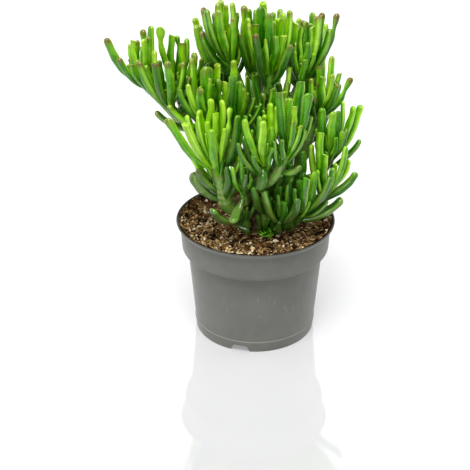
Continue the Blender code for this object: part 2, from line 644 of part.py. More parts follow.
def main():
    for obj in list(bpy.data.objects):
        bpy.data.objects.remove(obj)
    show(pot(), material("pot_plastic", (0.165, 0.168, 0.155), 0.5))
    show(soil(), material("potting_soil", (0.075, 0.042, 0.022), 0.95))
    splits = [split_stem(shoot) for shoot in SHOOTS]
    show(trunk(splits), material("green_wood", (0.16, 0.2, 0.07), 0.6))
    leaves = foliage(splits)
    for shoot, split in zip(SHOOTS, splits):
        shade = random.Random(shoot[0]).uniform(0.85, 1.15)
        leaf_green = material(f"leaf_{shoot[0]}", (0.13 * shade, 0.36 * shade, 0.015), 0.35)
        show(shoot_body(shoot, split, leaves[shoot[0]]), leaf_green)


main()
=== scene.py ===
"""Finished look of a potted gollum jade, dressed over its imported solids. Sizes are in millimetres."""

import math
import random

import bmesh
import bpy
import numpy as np
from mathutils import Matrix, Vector, noise


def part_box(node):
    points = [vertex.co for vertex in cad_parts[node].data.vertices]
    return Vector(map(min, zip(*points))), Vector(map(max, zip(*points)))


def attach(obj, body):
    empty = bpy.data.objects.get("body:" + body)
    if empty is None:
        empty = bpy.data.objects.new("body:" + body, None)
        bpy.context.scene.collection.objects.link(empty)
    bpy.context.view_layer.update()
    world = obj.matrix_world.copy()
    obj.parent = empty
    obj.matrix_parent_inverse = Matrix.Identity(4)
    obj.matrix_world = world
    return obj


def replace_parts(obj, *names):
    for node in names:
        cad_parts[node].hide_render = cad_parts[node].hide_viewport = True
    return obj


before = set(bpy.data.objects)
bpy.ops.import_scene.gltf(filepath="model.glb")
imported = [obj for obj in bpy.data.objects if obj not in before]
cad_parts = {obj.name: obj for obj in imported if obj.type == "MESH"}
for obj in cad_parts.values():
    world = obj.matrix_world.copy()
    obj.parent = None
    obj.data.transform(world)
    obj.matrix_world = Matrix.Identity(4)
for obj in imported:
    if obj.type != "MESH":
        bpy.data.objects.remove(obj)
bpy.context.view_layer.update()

# Nursery pot: one thin grey plastic moulding, with a tapered body on a foot ring, a wider band
# above a shoulder and a lip rolled outwards. Its mould leaves draft marks, a ridge round the foot,
# three notches in the foot ring and holes in the floor, and handling leaves scuffs on the front.
MM = 0.001
POT_SIDES = 160
POT_WALL = 1.05
FLOOR_WALL = 1.4
FOOT_RADIUS = 45.6
FOOT_RING_WIDTH = 2.0
FOOT_BAND_TOP = 8.8
FOOT_BAND_PROUD = 0.4
STEP_Z = 67.6
BODY_TOP_RADIUS = 51.3
BAND_BOTTOM_RADIUS = 55.9
BAND_TOP_RADIUS = 57.1
BAND_TOP_Z = 88.8
CHANNEL_Z = 5.6
CHANNEL_INNER_RADIUS = 22.5
CENTRE_PAD_RADIUS = 21.0
NOTCH_HEADING = 255.3
NOTCH_WIDTH = (15.4, 10.0)
NOTCH_HEIGHT = 5.2
NOTCH_ROUND = 1.1
DRAIN_HOLE_RADIUS = 4.0
DRAIN_HOLE_FROM_AXIS = 34.0
REACH = 1.0
POT_CREASE = 35
LIP_RADIUS = round(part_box("pot")[1][0] / MM, 3)
POT_HEIGHT = round(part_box("pot")[1][2] / MM, 3)


def aim(heading, lean):
    """Unit vector: heading in degrees from +X towards +Y, lean in degrees from upright."""
    turn, tilt = math.radians(heading), math.radians(lean)
    return Vector((math.cos(turn) * math.sin(tilt), math.sin(turn) * math.sin(tilt), math.cos(tilt)))


def ease(t):
    """Nought to one with smooth ends."""
    t = min(max(t, 0.0), 1.0)
    return t * t * (3 - 2 * t)


def piece(name, vertices, faces, finish, crease=180):
    """A shown object from vertices in millimetres, smooth but for creases sharper than given."""
    mesh = bpy.data.meshes.new(name)
    mesh.from_pydata((np.array([tuple(v) for v in vertices]) * MM).tolist(), [], faces)
    mesh.shade_smooth()
    if crease < 180:
        mesh.set_sharp_from_angle(angle=math.radians(crease))
    made = bpy.data.objects.new(name, mesh)
    bpy.context.scene.collection.objects.link(made)
    mesh.materials.append(finish)
    return made


def bake_modifiers(obj):
    """Put what the object's modifiers make into its mesh."""
    evaluated = obj.evaluated_get(bpy.context.evaluated_depsgraph_get())
    made = bpy.data.meshes.new_from_object(evaluated)
    obj.modifiers.clear()
    obj.data = made


def rounded_outline(corners, steps=5):
    """Outline points from (radius, height, fillet) corners."""
    points = []
    for i, (radius, z, fillet) in enumerate(corners):
        here = Vector((radius, z))
        if not fillet:
            points.append(here)
            continue
        before = Vector(corners[i - 1][:2]) - here
        after = Vector(corners[i + 1][:2]) - here
        reach = min(fillet, before.length * 0.48, after.length * 0.48)
        start = here + before.normalized() * reach
        end = here + after.normalized() * reach
        for k in range(steps + 1):
            t = k / steps
            points.append(start * (1 - t) ** 2 + here * (2 * t * (1 - t)) + end * t * t)
    return points


def turned(outline, sides):
    """Closed body turned about the pot's axis from an outline that starts and ends on it."""
    vertices, faces, rings = [], [], []
    for radius, z in outline:
        count = 1 if radius == 0 else sides
        rings.append(range(len(vertices), len(vertices) + count))
        for k in range(count):
            turn = math.tau * k / sides
            vertices.append((radius * math.cos(turn), radius * math.sin(turn), z))
    for lower, upper in zip(rings, rings[1:]):
        for k in range(sides):
            n = (k + 1) % sides
            below = (lower[k % len(lower)], lower[n % len(lower)])
            above = (upper[n % len(upper)], upper[k % len(upper)])
            faces.append(tuple(dict.fromkeys(below + above)))
    return vertices, faces


def quads_round(start, sides):
    """Faces between two rings of vertices, of which the first begins at start."""
    turns = [(start + k, start + (k + 1) % sides) for k in range(sides)]
    return [(a, b, b + sides, a + sides) for a, b in turns]


def add_node(tree, kind, inputs=(), **settings):
    """A shader node with its settings, and its inputs as values or as links."""
    made = tree.nodes.new(kind)
    for key, value in settings.items():
        setattr(made, key, value)
    for key, value in dict(inputs).items():
        if isinstance(value, bpy.types.NodeSocket):
            tree.links.new(value, made.inputs[key])
        else:
            made.inputs[key].default_value = value
    return made


def blend_colour(tree, factor, first, second, how="MIX"):
    """Colour socket between two colours, each a socket or an RGB tuple."""
    first, second = ((*c, 1.0) if isinstance(c, tuple) else c for c in (first, second))
    inputs = {0: factor, 6: first, 7: second}
    return add_node(tree, "ShaderNodeMix", inputs, data_type="RGBA", blend_type=how).outputs[2]


def maths(tree, how, *values):
    """What one maths node makes of values and sockets."""
    return add_node(tree, "ShaderNodeMath", dict(enumerate(values)), operation=how).outputs[0]


def spread(tree, value, low, high, to_low=0.0, to_high=1.0):
    """A value moved from one range to another, with smooth ends."""
    inputs = {"Value": value, "From Min": low, "From Max": high, "To Min": to_low, "To Max": to_high}
    return add_node(tree, "ShaderNodeMapRange", inputs, interpolation_type="SMOOTHSTEP").outputs["Result"]


def within(tree, value, rise, fall):
    """One between two heights in millimetres: it grows over the first range and fades over the second."""
    ends = [spread(tree, value, start * MM, end * MM) for start, end in (rise, fall)]
    return maths(tree, "MULTIPLY", *ends)


def noise_over(tree, place, scale, detail=2.0, stretch=None, slant=0.0):
    """Noise over a place, squeezed or drawn out along Z where a stretch is given."""
    if stretch:
        inputs = {"Vector": place, "Scale": (1.0, 1.0, stretch), "Rotation": (0.0, slant, 0.0)}
        place = add_node(tree, "ShaderNodeMapping", inputs).outputs[0]
    inputs = {"Vector": place, "Scale": scale, "Detail": detail}
    return add_node(tree, "ShaderNodeTexNoise", inputs).outputs["Fac"]


def object_place(tree):
    """Where a point lies on its object, in metres."""
    return add_node(tree, "ShaderNodeTexCoord").outputs["Object"]


def new_finish(name, even):
    """A material with the settings that are even all over it, its node tree and its shader."""
    made = bpy.data.materials.new(name)
    made.use_nodes = True
    shader = made.node_tree.nodes["Principled BSDF"]
    for label, value in even.items():
        shader.inputs[label].default_value = value
    return made, made.node_tree, shader


def group_tree(name, inputs, outputs):
    """An empty node group with float inputs, and outputs given as name: socket type."""
    tree = bpy.data.node_groups.new(name, "ShaderNodeTree")
    for label, value in inputs.items():
        made = tree.interface.new_socket(label, in_out="INPUT", socket_type="NodeSocketFloat")
        made.default_value = value
    for label, kind in outputs.items():
        tree.interface.new_socket(label, in_out="OUTPUT", socket_type=kind)
    return tree, tree.nodes.new("NodeGroupInput").outputs, tree.nodes.new("NodeGroupOutput").inputs


# Mottle: soft patches of two sizes, in object space, as a value about one half. The plastic, the
# soil, the bark and the leaves all mix their tones by it.
FINE_PATCHES = 4.7
mottle_group, given, result = group_tree(
    "mottle", {"Patch size": 10.0, "Fine share": 0.4, "Contrast": 1.0}, {"Value": "NodeSocketFloat"})
place = object_place(mottle_group)
per_metre = maths(mottle_group, "DIVIDE", 1 / MM, given["Patch size"])
coarse = noise_over(mottle_group, place, per_metre)
fine = noise_over(mottle_group, place, maths(mottle_group, "MULTIPLY", per_metre, FINE_PATCHES), 3.0)
mixed = add_node(mottle_group, "ShaderNodeMix", {0: given["Fine share"], 2: coarse, 3: fine})
away = maths(mottle_group, "SUBTRACT", mixed.outputs[0], 0.5)
away = maths(mottle_group, "MULTIPLY", away, given["Contrast"])
mottle_group.links.new(maths(mottle_group, "ADD", away, 0.5), result["Value"])


def mottle(tree, size, fine_share=0.4, contrast=1.0):
    """The mottle's value, with patches of a size in millimetres."""
    made = tree.nodes.new("ShaderNodeGroup")
    made.node_tree = mottle_group
    for label, value in (("Patch size", size), ("Fine share", fine_share), ("Contrast", contrast)):
        made.inputs[label].default_value = value
    return made.outputs["Value"]


def drift(tree, share, *patches):
    """The mottle's value about nought, times a share."""
    return maths(tree, "MULTIPLY", maths(tree, "SUBTRACT", mottle(tree, *patches), 0.5), share)


def bump(tree, shader, height, depth, strength=1.0):
    """Relief of a depth in millimetres on a shader."""
    inputs = {"Height": height, "Distance": depth * MM, "Strength": strength}
    made = add_node(tree, "ShaderNodeBump", inputs)
    tree.links.new(made.outputs["Normal"], shader.inputs["Normal"])


# Pot plastic: matt grey, with a painted highlight along its ridge and painted shade on top of its lip,
# and scuffed on the front
POT_GREY = (0.204, 0.206, 0.188)
# Painted highlight: a paler grey where the ridge round the foot catches the light
POT_RIDGE_HIGHLIGHT = (0.262, 0.265, 0.243)
POT_SCUFF = (0.33, 0.32, 0.27)
# Painted shade: a near-black grey on top of the lip
POT_LIP_SHADE = (0.060, 0.058, 0.050)
DARKER, LIGHTER = 0.94, 1.05
# Heights over which the ridge's painted highlight and the front's scuffs grow and fade, and where the
# front begins
RIDGE_GROWS, RIDGE_FADES = (8.0, 8.8), (9.6, 9.1)
SCUFFS_GROW, SCUFFS_FADE = (22.0, 34.0), (64.0, 52.0)
SCUFFED_FRONT = (-30.0, -44.0)
pot_finish, tree, shader = new_finish("pot_plastic", {
    "Roughness": 0.46, "Specular IOR Level": 0.42, "Sheen Weight": 0.22, "Sheen Roughness": 0.4})
place = object_place(tree)
axes = add_node(tree, "ShaderNodeSeparateXYZ", {0: place}).outputs
tone = spread(tree, mottle(tree, 26.0, 0.35), 0.3, 0.7)
colour = blend_colour(tree, tone, *(tuple(c * share for c in POT_GREY) for share in (DARKER, LIGHTER)))
ridge = within(tree, axes["Z"], RIDGE_GROWS, RIDGE_FADES)
# Painted shade on the top of the lip
lip = spread(tree, axes["Z"], (POT_HEIGHT - 0.8) * MM, (POT_HEIGHT - 0.1) * MM)
streaks = spread(tree, noise_over(tree, place, 420.0, 4.0, stretch=0.12, slant=0.35), 0.58, 0.68)
patches = spread(tree, noise_over(tree, place, 55.0, 1.0), 0.45, 0.60)
front = spread(tree, axes["Y"], *(depth * MM for depth in SCUFFED_FRONT))
height = within(tree, axes["Z"], SCUFFS_GROW, SCUFFS_FADE)
scuff = maths(tree, "MULTIPLY", maths(tree, "MULTIPLY", streaks, patches), front)
scuff = maths(tree, "MULTIPLY", scuff, height)
# The ridge's painted highlight, the lip's painted shade and the front's real scuffs
for mask, share, over in ((ridge, 0.75, POT_RIDGE_HIGHLIGHT), (lip, 0.8, POT_LIP_SHADE), (scuff, 0.55, POT_SCUFF)):
    colour = blend_colour(tree, maths(tree, "MULTIPLY", mask, share), colour, over)
tree.links.new(colour, shader.inputs["Base Color"])
tree.links.new(spread(tree, mottle(tree, 9.0, 0.6), 0.25, 0.75, 0.42, 0.54), shader.inputs["Roughness"])
draft_marks = noise_over(tree, place, 900.0, stretch=0.06)
bump(tree, shader, draft_marks, 0.05, 0.6)

# Pot shape: the outline runs from the middle of the underside out over the foot, up the outside,
# over the lip, down the inside and back to the middle of the floor, as (radius, height, fillet).
inner_body = BODY_TOP_RADIUS - POT_WALL
floor_top = CHANNEL_Z + FLOOR_WALL
foot_band_radius = FOOT_RADIUS + 2 * FOOT_BAND_PROUD
ring_inside = FOOT_RADIUS - FOOT_RING_WIDTH
pot_outline = rounded_outline([
    (0, 0, 0), (CENTRE_PAD_RADIUS, 0, 0.6), (CHANNEL_INNER_RADIUS, CHANNEL_Z, 1.2),
    (ring_inside, CHANNEL_Z, 0.8), (ring_inside, 0, 0.5), (FOOT_RADIUS, 0, 0.5),
    (foot_band_radius + FOOT_BAND_PROUD, FOOT_BAND_TOP, 0.25),
    (foot_band_radius, FOOT_BAND_TOP + FOOT_BAND_PROUD, 0.3),
    (BODY_TOP_RADIUS, STEP_Z - 0.9, 1.6), (BAND_BOTTOM_RADIUS - 0.7, STEP_Z + 0.4, 0.9),
    (BAND_BOTTOM_RADIUS, STEP_Z + 2.0, 1.0), (BAND_TOP_RADIUS - 0.2, BAND_TOP_Z - 1.6, 2.5),
    (LIP_RADIUS - 0.6, POT_HEIGHT - 1.7, 0.5), (LIP_RADIUS, POT_HEIGHT - 1.1, 0.4),
    (LIP_RADIUS - 0.15, POT_HEIGHT, 0.45), (LIP_RADIUS - 1.1, POT_HEIGHT, 0.35),
    (LIP_RADIUS - 1.3, POT_HEIGHT - 1.1, 0.5), (BAND_TOP_RADIUS - POT_WALL, BAND_TOP_Z - 1.1, 1.6),
    (BAND_BOTTOM_RADIUS - POT_WALL, STEP_Z + 2.2, 1.0),
    (inner_body, STEP_Z + POT_WALL, 1.2), (FOOT_RADIUS - 0.7, floor_top, 1.5),
    (CHANNEL_INNER_RADIUS + FLOOR_WALL, floor_top, 1.0),
    (CENTRE_PAD_RADIUS + FLOOR_WALL, FLOOR_WALL, 1.0), (0, FLOOR_WALL, 0)])
pot = piece("nursery_pot", *turned(pot_outline, POT_SIDES), pot_finish)
cutters = []
for turn in (0, 120, 240):
    out = aim(NOTCH_HEADING + turn, 90)
    across = aim(NOTCH_HEADING + turn + 90, 90)
    bottom, top = (width / 2 for width in NOTCH_WIDTH)
    right_side = [Vector(p) for p in ((bottom, -REACH), (bottom, 0), (top, NOTCH_HEIGHT))]
    corner = right_side[2]
    towards_foot = (right_side[1] - corner).normalized() * NOTCH_ROUND
    rounding = [corner + towards_foot * (1 - t) ** 2 + Vector((-NOTCH_ROUND, 0)) * t * t
                for t in (0, 0.33, 0.67, 1)]
    half = right_side[:2] + rounding
    outline = half + [Vector((-p.x, p.y)) for p in reversed(half)]
    depths = (ring_inside - REACH, FOOT_RADIUS + FOOT_RING_WIDTH + REACH)
    vertices = [out * depth + across * p.x + Vector((0, 0, p.y)) for depth in depths for p in outline]
    n = len(outline)
    faces = [tuple(reversed(range(n))), tuple(range(n, 2 * n))] + quads_round(0, n)
    cutters.append(piece("notch_cutter", vertices, faces, pot_finish))
    hole = turned([(0, CHANNEL_Z - REACH), (DRAIN_HOLE_RADIUS, CHANNEL_Z - REACH),
                   (DRAIN_HOLE_RADIUS, floor_top + REACH), (0, floor_top + REACH)], 32)
    centre = out * DRAIN_HOLE_FROM_AXIS
    cutters.append(piece("drain_cutter", [Vector(v) + centre for v in hole[0]], hole[1], pot_finish))
for cutter in cutters:
    hole = pot.modifiers.new("Hole", "BOOLEAN")
    hole.operation = "DIFFERENCE"
    hole.object = cutter
bake_modifiers(pot)
for cutter in cutters:
    bpy.data.objects.remove(cutter)
pot.data.shade_smooth()
pot.data.set_sharp_from_angle(angle=math.radians(POT_CREASE))
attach(pot, "root")
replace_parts(pot, "pot")

# Potting soil: peat and bark compost filled to just under the lip, loose and lumpy, with crumbs,
# slivers of bark and pale grit lying on it. It is banked up at the wall and heaped round the trunk.
SOIL_LEVEL = 82.0
LUMP_HEIGHT = 1.5
LUMP_SIZES = (7.0, 3.5)
HEAP_HEIGHT = 4.0
HEAP_WIDTH = 17.3
EDGE_RISE = 9.0
EDGE_RISE_WIDTH = 4.0
TRUNK_FOOT = (3.0, -4.0, 52.0)
CRUMB_RELIEF = ((3.4, 1.1), (1.4, 0.5))
SOIL_SIDES = 300
SOIL_RINGS = 66
SOIL_SIDE = ((55.7, 87.0), (54.2, 70.0))
EDGE_MARGIN = 0.8
MOSTLY_SMALL = 2.2
TUMBLE = 0.35
BIT_ROUGHNESS = 2.6
BITS_SEED = 21
soil_rim = LIP_RADIUS - 1.8


def soil_height(x, y):
    """Height of the loose soil: lumps, banked up at the wall and heaped round the trunk."""
    from_wall = max(BAND_TOP_RADIUS - math.hypot(x, y), 0.0)
    from_trunk = math.hypot(x - TRUNK_FOOT[0], y - TRUNK_FOOT[1])
    heap = HEAP_HEIGHT * math.exp(-0.5 * (from_trunk / HEAP_WIDTH) ** 2)
    coarse, fine = LUMP_SIZES
    lumps = noise.noise(Vector((x, y, 0)) / coarse) + 0.6 * noise.noise(Vector((x, y, 40)) / fine)
    lumps *= 1 - 0.6 * math.exp(-from_wall / 2)
    return SOIL_LEVEL + heap + LUMP_HEIGHT * lumps + EDGE_RISE * math.exp(-from_wall / EDGE_RISE_WIDTH)


def crumbly_height(x, y):
    """Height of the soil's skin, with the crumbs pressed into it."""
    relief = sum(depth * noise.noise(Vector((x, y, 90)) / size) for size, depth in CRUMB_RELIEF)
    return soil_height(x, y) + relief


def give_values(mesh, name, values):
    """A value for each vertex, which the material reads by its name."""
    made = mesh.attributes.new(name, "FLOAT", "POINT")
    made.data.foreach_set("value", np.asarray(values, dtype=np.float32))


def value_of(tree, name):
    """A value that the mesh carries."""
    return add_node(tree, "ShaderNodeAttribute", attribute_name=name).outputs["Fac"]


def colour_ramp(tree, value, stops):
    """Colour socket from (place, RGB) stops."""
    made = add_node(tree, "ShaderNodeValToRGB", {"Fac": value})
    elements = made.color_ramp.elements
    while len(elements) < len(stops):
        elements.new(0.5)
    for element, (position, colour) in zip(elements, stops):
        element.position = position
        element.color = (*colour, 1.0)
    return made.outputs["Color"]


# Peat in brown tones, with painted shade darkest in its hollows and painted light on raised crumbs;
# "shade" makes one crumb lighter than the next
RUSTY = (1.0, 0.80, 0.64)
PEAT = [(0.0, (0.014, 0.009, 0.005)), (0.25, (0.115, 0.066, 0.030)), (0.48, (0.36, 0.24, 0.115)),
        (0.75, (0.72, 0.55, 0.30)), (1.0, (1.0, 0.88, 0.60))]
soil_finish, tree, shader = new_finish("potting_soil", {"Roughness": 0.92, "Specular IOR Level": 0.2})
patchy = drift(tree, 0.9, 7.0, 0.4, 1.5)
colour = colour_ramp(tree, maths(tree, "ADD", value_of(tree, "shade"), patchy), PEAT)
rusty = spread(tree, mottle(tree, 8.0, 0.5, 1.4), 0.45, 0.75)
colour = blend_colour(tree, rusty, colour, blend_colour(tree, 1.0, colour, RUSTY, "MULTIPLY"))
tree.links.new(colour, shader.inputs["Base Color"])
tree.links.new(spread(tree, mottle(tree, 2.0, 0.5), 0.2, 0.8, 0.8, 0.98), shader.inputs["Roughness"])
bump(tree, shader, mottle(tree, 0.9, 0.6, 2.0), 0.35, 0.9)

vertices = [(0, 0, crumbly_height(0, 0))]
for ring in range(1, SOIL_RINGS + 1):
    radius = soil_rim * ring / SOIL_RINGS
    for k in range(SOIL_SIDES):
        turn = math.tau * k / SOIL_SIDES
        x, y = radius * math.cos(turn), radius * math.sin(turn)
        vertices.append((x, y, crumbly_height(x, y)))
rim_ring = vertices[-SOIL_SIDES:]
for side_radius, z in SOIL_SIDE:
    vertices += [(x * side_radius / soil_rim, y * side_radius / soil_rim, z) for x, y, _ in rim_ring]
vertices.append((0, 0, SOIL_SIDE[-1][1]))
faces = []
for k in range(SOIL_SIDES):
    n = (k + 1) % SOIL_SIDES
    faces.append((0, 1 + k, 1 + n))
    for ring in range(SOIL_RINGS + 1):
        a = 1 + ring * SOIL_SIDES
        faces.append((a + k, a + SOIL_SIDES + k, a + SOIL_SIDES + n, a + n))
    last = 1 + (SOIL_RINGS + 1) * SOIL_SIDES
    faces.append((last + k, len(vertices) - 1, last + n))
soil = piece("potting_soil", vertices, faces, soil_finish)
# Painted light and shade: lighter where a crumb stands up and darker in the hollows between, and
# painted shade for the last two millimetres before the lip
shades = [0.30 + 0.26 * (z - soil_height(x, y)) - 0.3 * ease((math.hypot(x, y) - soil_rim + 2) / 2)
          for x, y, z in vertices]
give_values(soil.data, "shade", np.clip(shades, 0.0, 0.7))
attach(soil, "root")
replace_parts(soil, "soil")


def lump_shape(detail):
    """Vertices and faces of a round lump one across, to be stretched and roughened."""
    shape = bmesh.new()
    bmesh.ops.create_icosphere(shape, subdivisions=detail, radius=0.5)
    made = [v.co.copy() for v in shape.verts], [tuple(v.index for v in f.verts) for f in shape.faces]
    shape.free()
    return made


def swung(a, b, turn):
    """Two coordinates turned about their origin."""
    return a * math.cos(turn) - b * math.sin(turn), a * math.sin(turn) + b * math.cos(turn)


def scattered(name, rng, finish, shape, count, sizes, stretch, shades, sunk, crust):
    """Loose bits on the soil: sizes and shades are ranges, stretch scales a bit's own axes."""
    base, base_faces = shape
    vertices, faces, values = [], [], []
    while count:
        reach = (soil_rim - EDGE_MARGIN) * math.sqrt(rng.random())
        turn = rng.uniform(0, math.tau)
        x, y = reach * math.cos(turn), reach * math.sin(turn)
        size = sizes[0] + (sizes[1] - sizes[0]) * rng.random() ** MOSTLY_SMALL
        if reach + size * max(stretch) / 2 > soil_rim:
            continue
        count -= 1
        height = crumbly_height(x, y) + size * min(stretch) * (0.5 - sunk)
        heading, tip = rng.uniform(0, math.tau), rng.gauss(0, TUMBLE)
        seed = Vector([rng.uniform(0, 99) for _ in range(3)])
        shade = shades[0] + (shades[1] - shades[0]) * rng.random()
        start = len(vertices)
        for v in base:
            p = v * (1 + crust * 2 * noise.noise(v * BIT_ROUGHNESS + seed))
            p = Vector((p.x * stretch[0], p.y * stretch[1], p.z * stretch[2])) * size
            p = Vector((*swung(p.x, p.z, tip), p.y))
            across, deep = swung(p.x, p.z, heading)
            vertices.append((x + across, y + deep, height + p.y))
            values.append(shade)
        faces += [tuple(start + i for i in face) for face in base_faces]
    made = piece(name, vertices, faces, finish, crease=50)
    give_values(made.data, "shade", values)
    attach(made, "root")


# Pale grit and perlite: hard grains in cream and straw, mixed into the compost to drain it
GRIT = [(0.0, (0.42, 0.29, 0.13)), (0.5, (0.74, 0.60, 0.36)), (1.0, (1.0, 0.95, 0.80))]
GRIT_HOLLOWS = (0.72, 0.66, 0.58)
grit_finish, tree, shader = new_finish("soil_grit", {"Roughness": 0.8, "Specular IOR Level": 0.3})
colour = colour_ramp(tree, value_of(tree, "shade"), GRIT)
hollows = spread(tree, mottle(tree, 1.2, 0.5, 1.6), 0.3, 0.7)
shaded = blend_colour(tree, hollows, GRIT_HOLLOWS, (1.0, 1.0, 1.0))
tree.links.new(blend_colour(tree, 1.0, colour, shaded, "MULTIPLY"), shader.inputs["Base Color"])
bump(tree, shader, mottle(tree, 0.5, 0.6, 2.0), 0.15, 0.7)

# The loose bits: finish, shape, count, sizes, stretch, shades, how deep a bit is sunk as a share of
# its height, and how rough its crust is
rough_lump, small_lump = lump_shape(2), lump_shape(1)
LOOSE_BITS = {
    "soil_lumps": (soil_finish, rough_lump, 420, (2.0, 6.0), (1, 0.7, 0.5), (0.05, 0.65), 0.35, 0.45),
    "soil_crumbs": (soil_finish, small_lump, 4200, (0.7, 2.4), (1, 0.66, 0.5), (0.08, 0.86), 0.2, 0.35),
    "soil_bark": (soil_finish, small_lump, 1700, (1.2, 5.6), (1, 0.28, 0.13), (0.1, 0.8), 0.0, 0.22),
    "soil_flakes": (soil_finish, small_lump, 60, (3.0, 7.0), (1, 0.5, 0.2), (0.3, 0.9), 0.0, 0.35),
    "soil_fibres": (soil_finish, small_lump, 240, (3.0, 9.0), (1, 0.06, 0.05), (0.4, 1.0), 0.0, 0.22),
    "soil_grit": (grit_finish, small_lump, 760, (0.8, 3.4), (1, 0.62, 0.42), (0.3, 1.0), -0.05, 0.35),
    "soil_chips": (grit_finish, small_lump, 110, (2.2, 5.0), (1, 0.6, 0.5), (0.85, 1.0), -0.12, 0.4),
}
rng = random.Random(BITS_SEED)
for name, bits in LOOSE_BITS.items():
    scattered(name, rng, *bits)

# Trunk and limbs: the woody but fleshy frame of the plant, one grown piece, smooth green where it is
# young and tan and wrinkled below. Each fork has a parent fork, a place and a radius, and a limb runs
# from the parent to it; a stub runs from a fork to the ringed collar that a leafy shoot stands on.
FORKS = {
    "foot": (None, TRUNK_FOOT, 12.0),
    "collar": ("foot", (3, -4, 84), 11.6),
    "low": ("collar", (2, -4, 92), 10.0),
    "waist": ("low", (0, -3, 106), 8.6),
    "heart": ("waist", (-3, 3, 124), 7.2),
    "elbow": ("waist", (-5, -17, 122), 5.4),
    "front": ("elbow", (3, -29, 132), 4.8),
    "left": ("heart", (-30, 2, 148), 5.4),
    "left_tip": ("left", (-47, 2, 161), 4.6),
    "crown": ("heart", (-2, 12, 160), 6.2),
    "crown_right": ("crown", (14, 9, 174), 4.8),
    "right": ("waist", (24, 3, 118), 5.2),
    "low_right": ("low", (19, -6, 95), 4.8),
    "back": ("waist", (0, 22, 112), 5.6),
    "back_high": ("heart", (5, 24, 154), 4.8),
}
COLLAR_LENGTH = 8.0
STEM_CLEARANCE = 0.7
PATH_STEPS = 24
CURVE_PULL = 0.9
LIMB_SWELL = 1.35
STRAIGHT_LIMBS = ("collar", "low")
STUB_TAPER = (1.12, 1.06, 1)
GAP = 0.3
LIMB_SIDES = 20
BARK_VOXEL = 0.85
BARK_SMOOTHING = 4
ROOT_FLARE = 1.35
ROOT_FLARE_HEIGHT = 10.0
ROOT_FLARE_SUNK = 4.0
BARK_WRINKLES = ((5.0, 0.22), (1.6, 0.1))
RINGED = 1.8

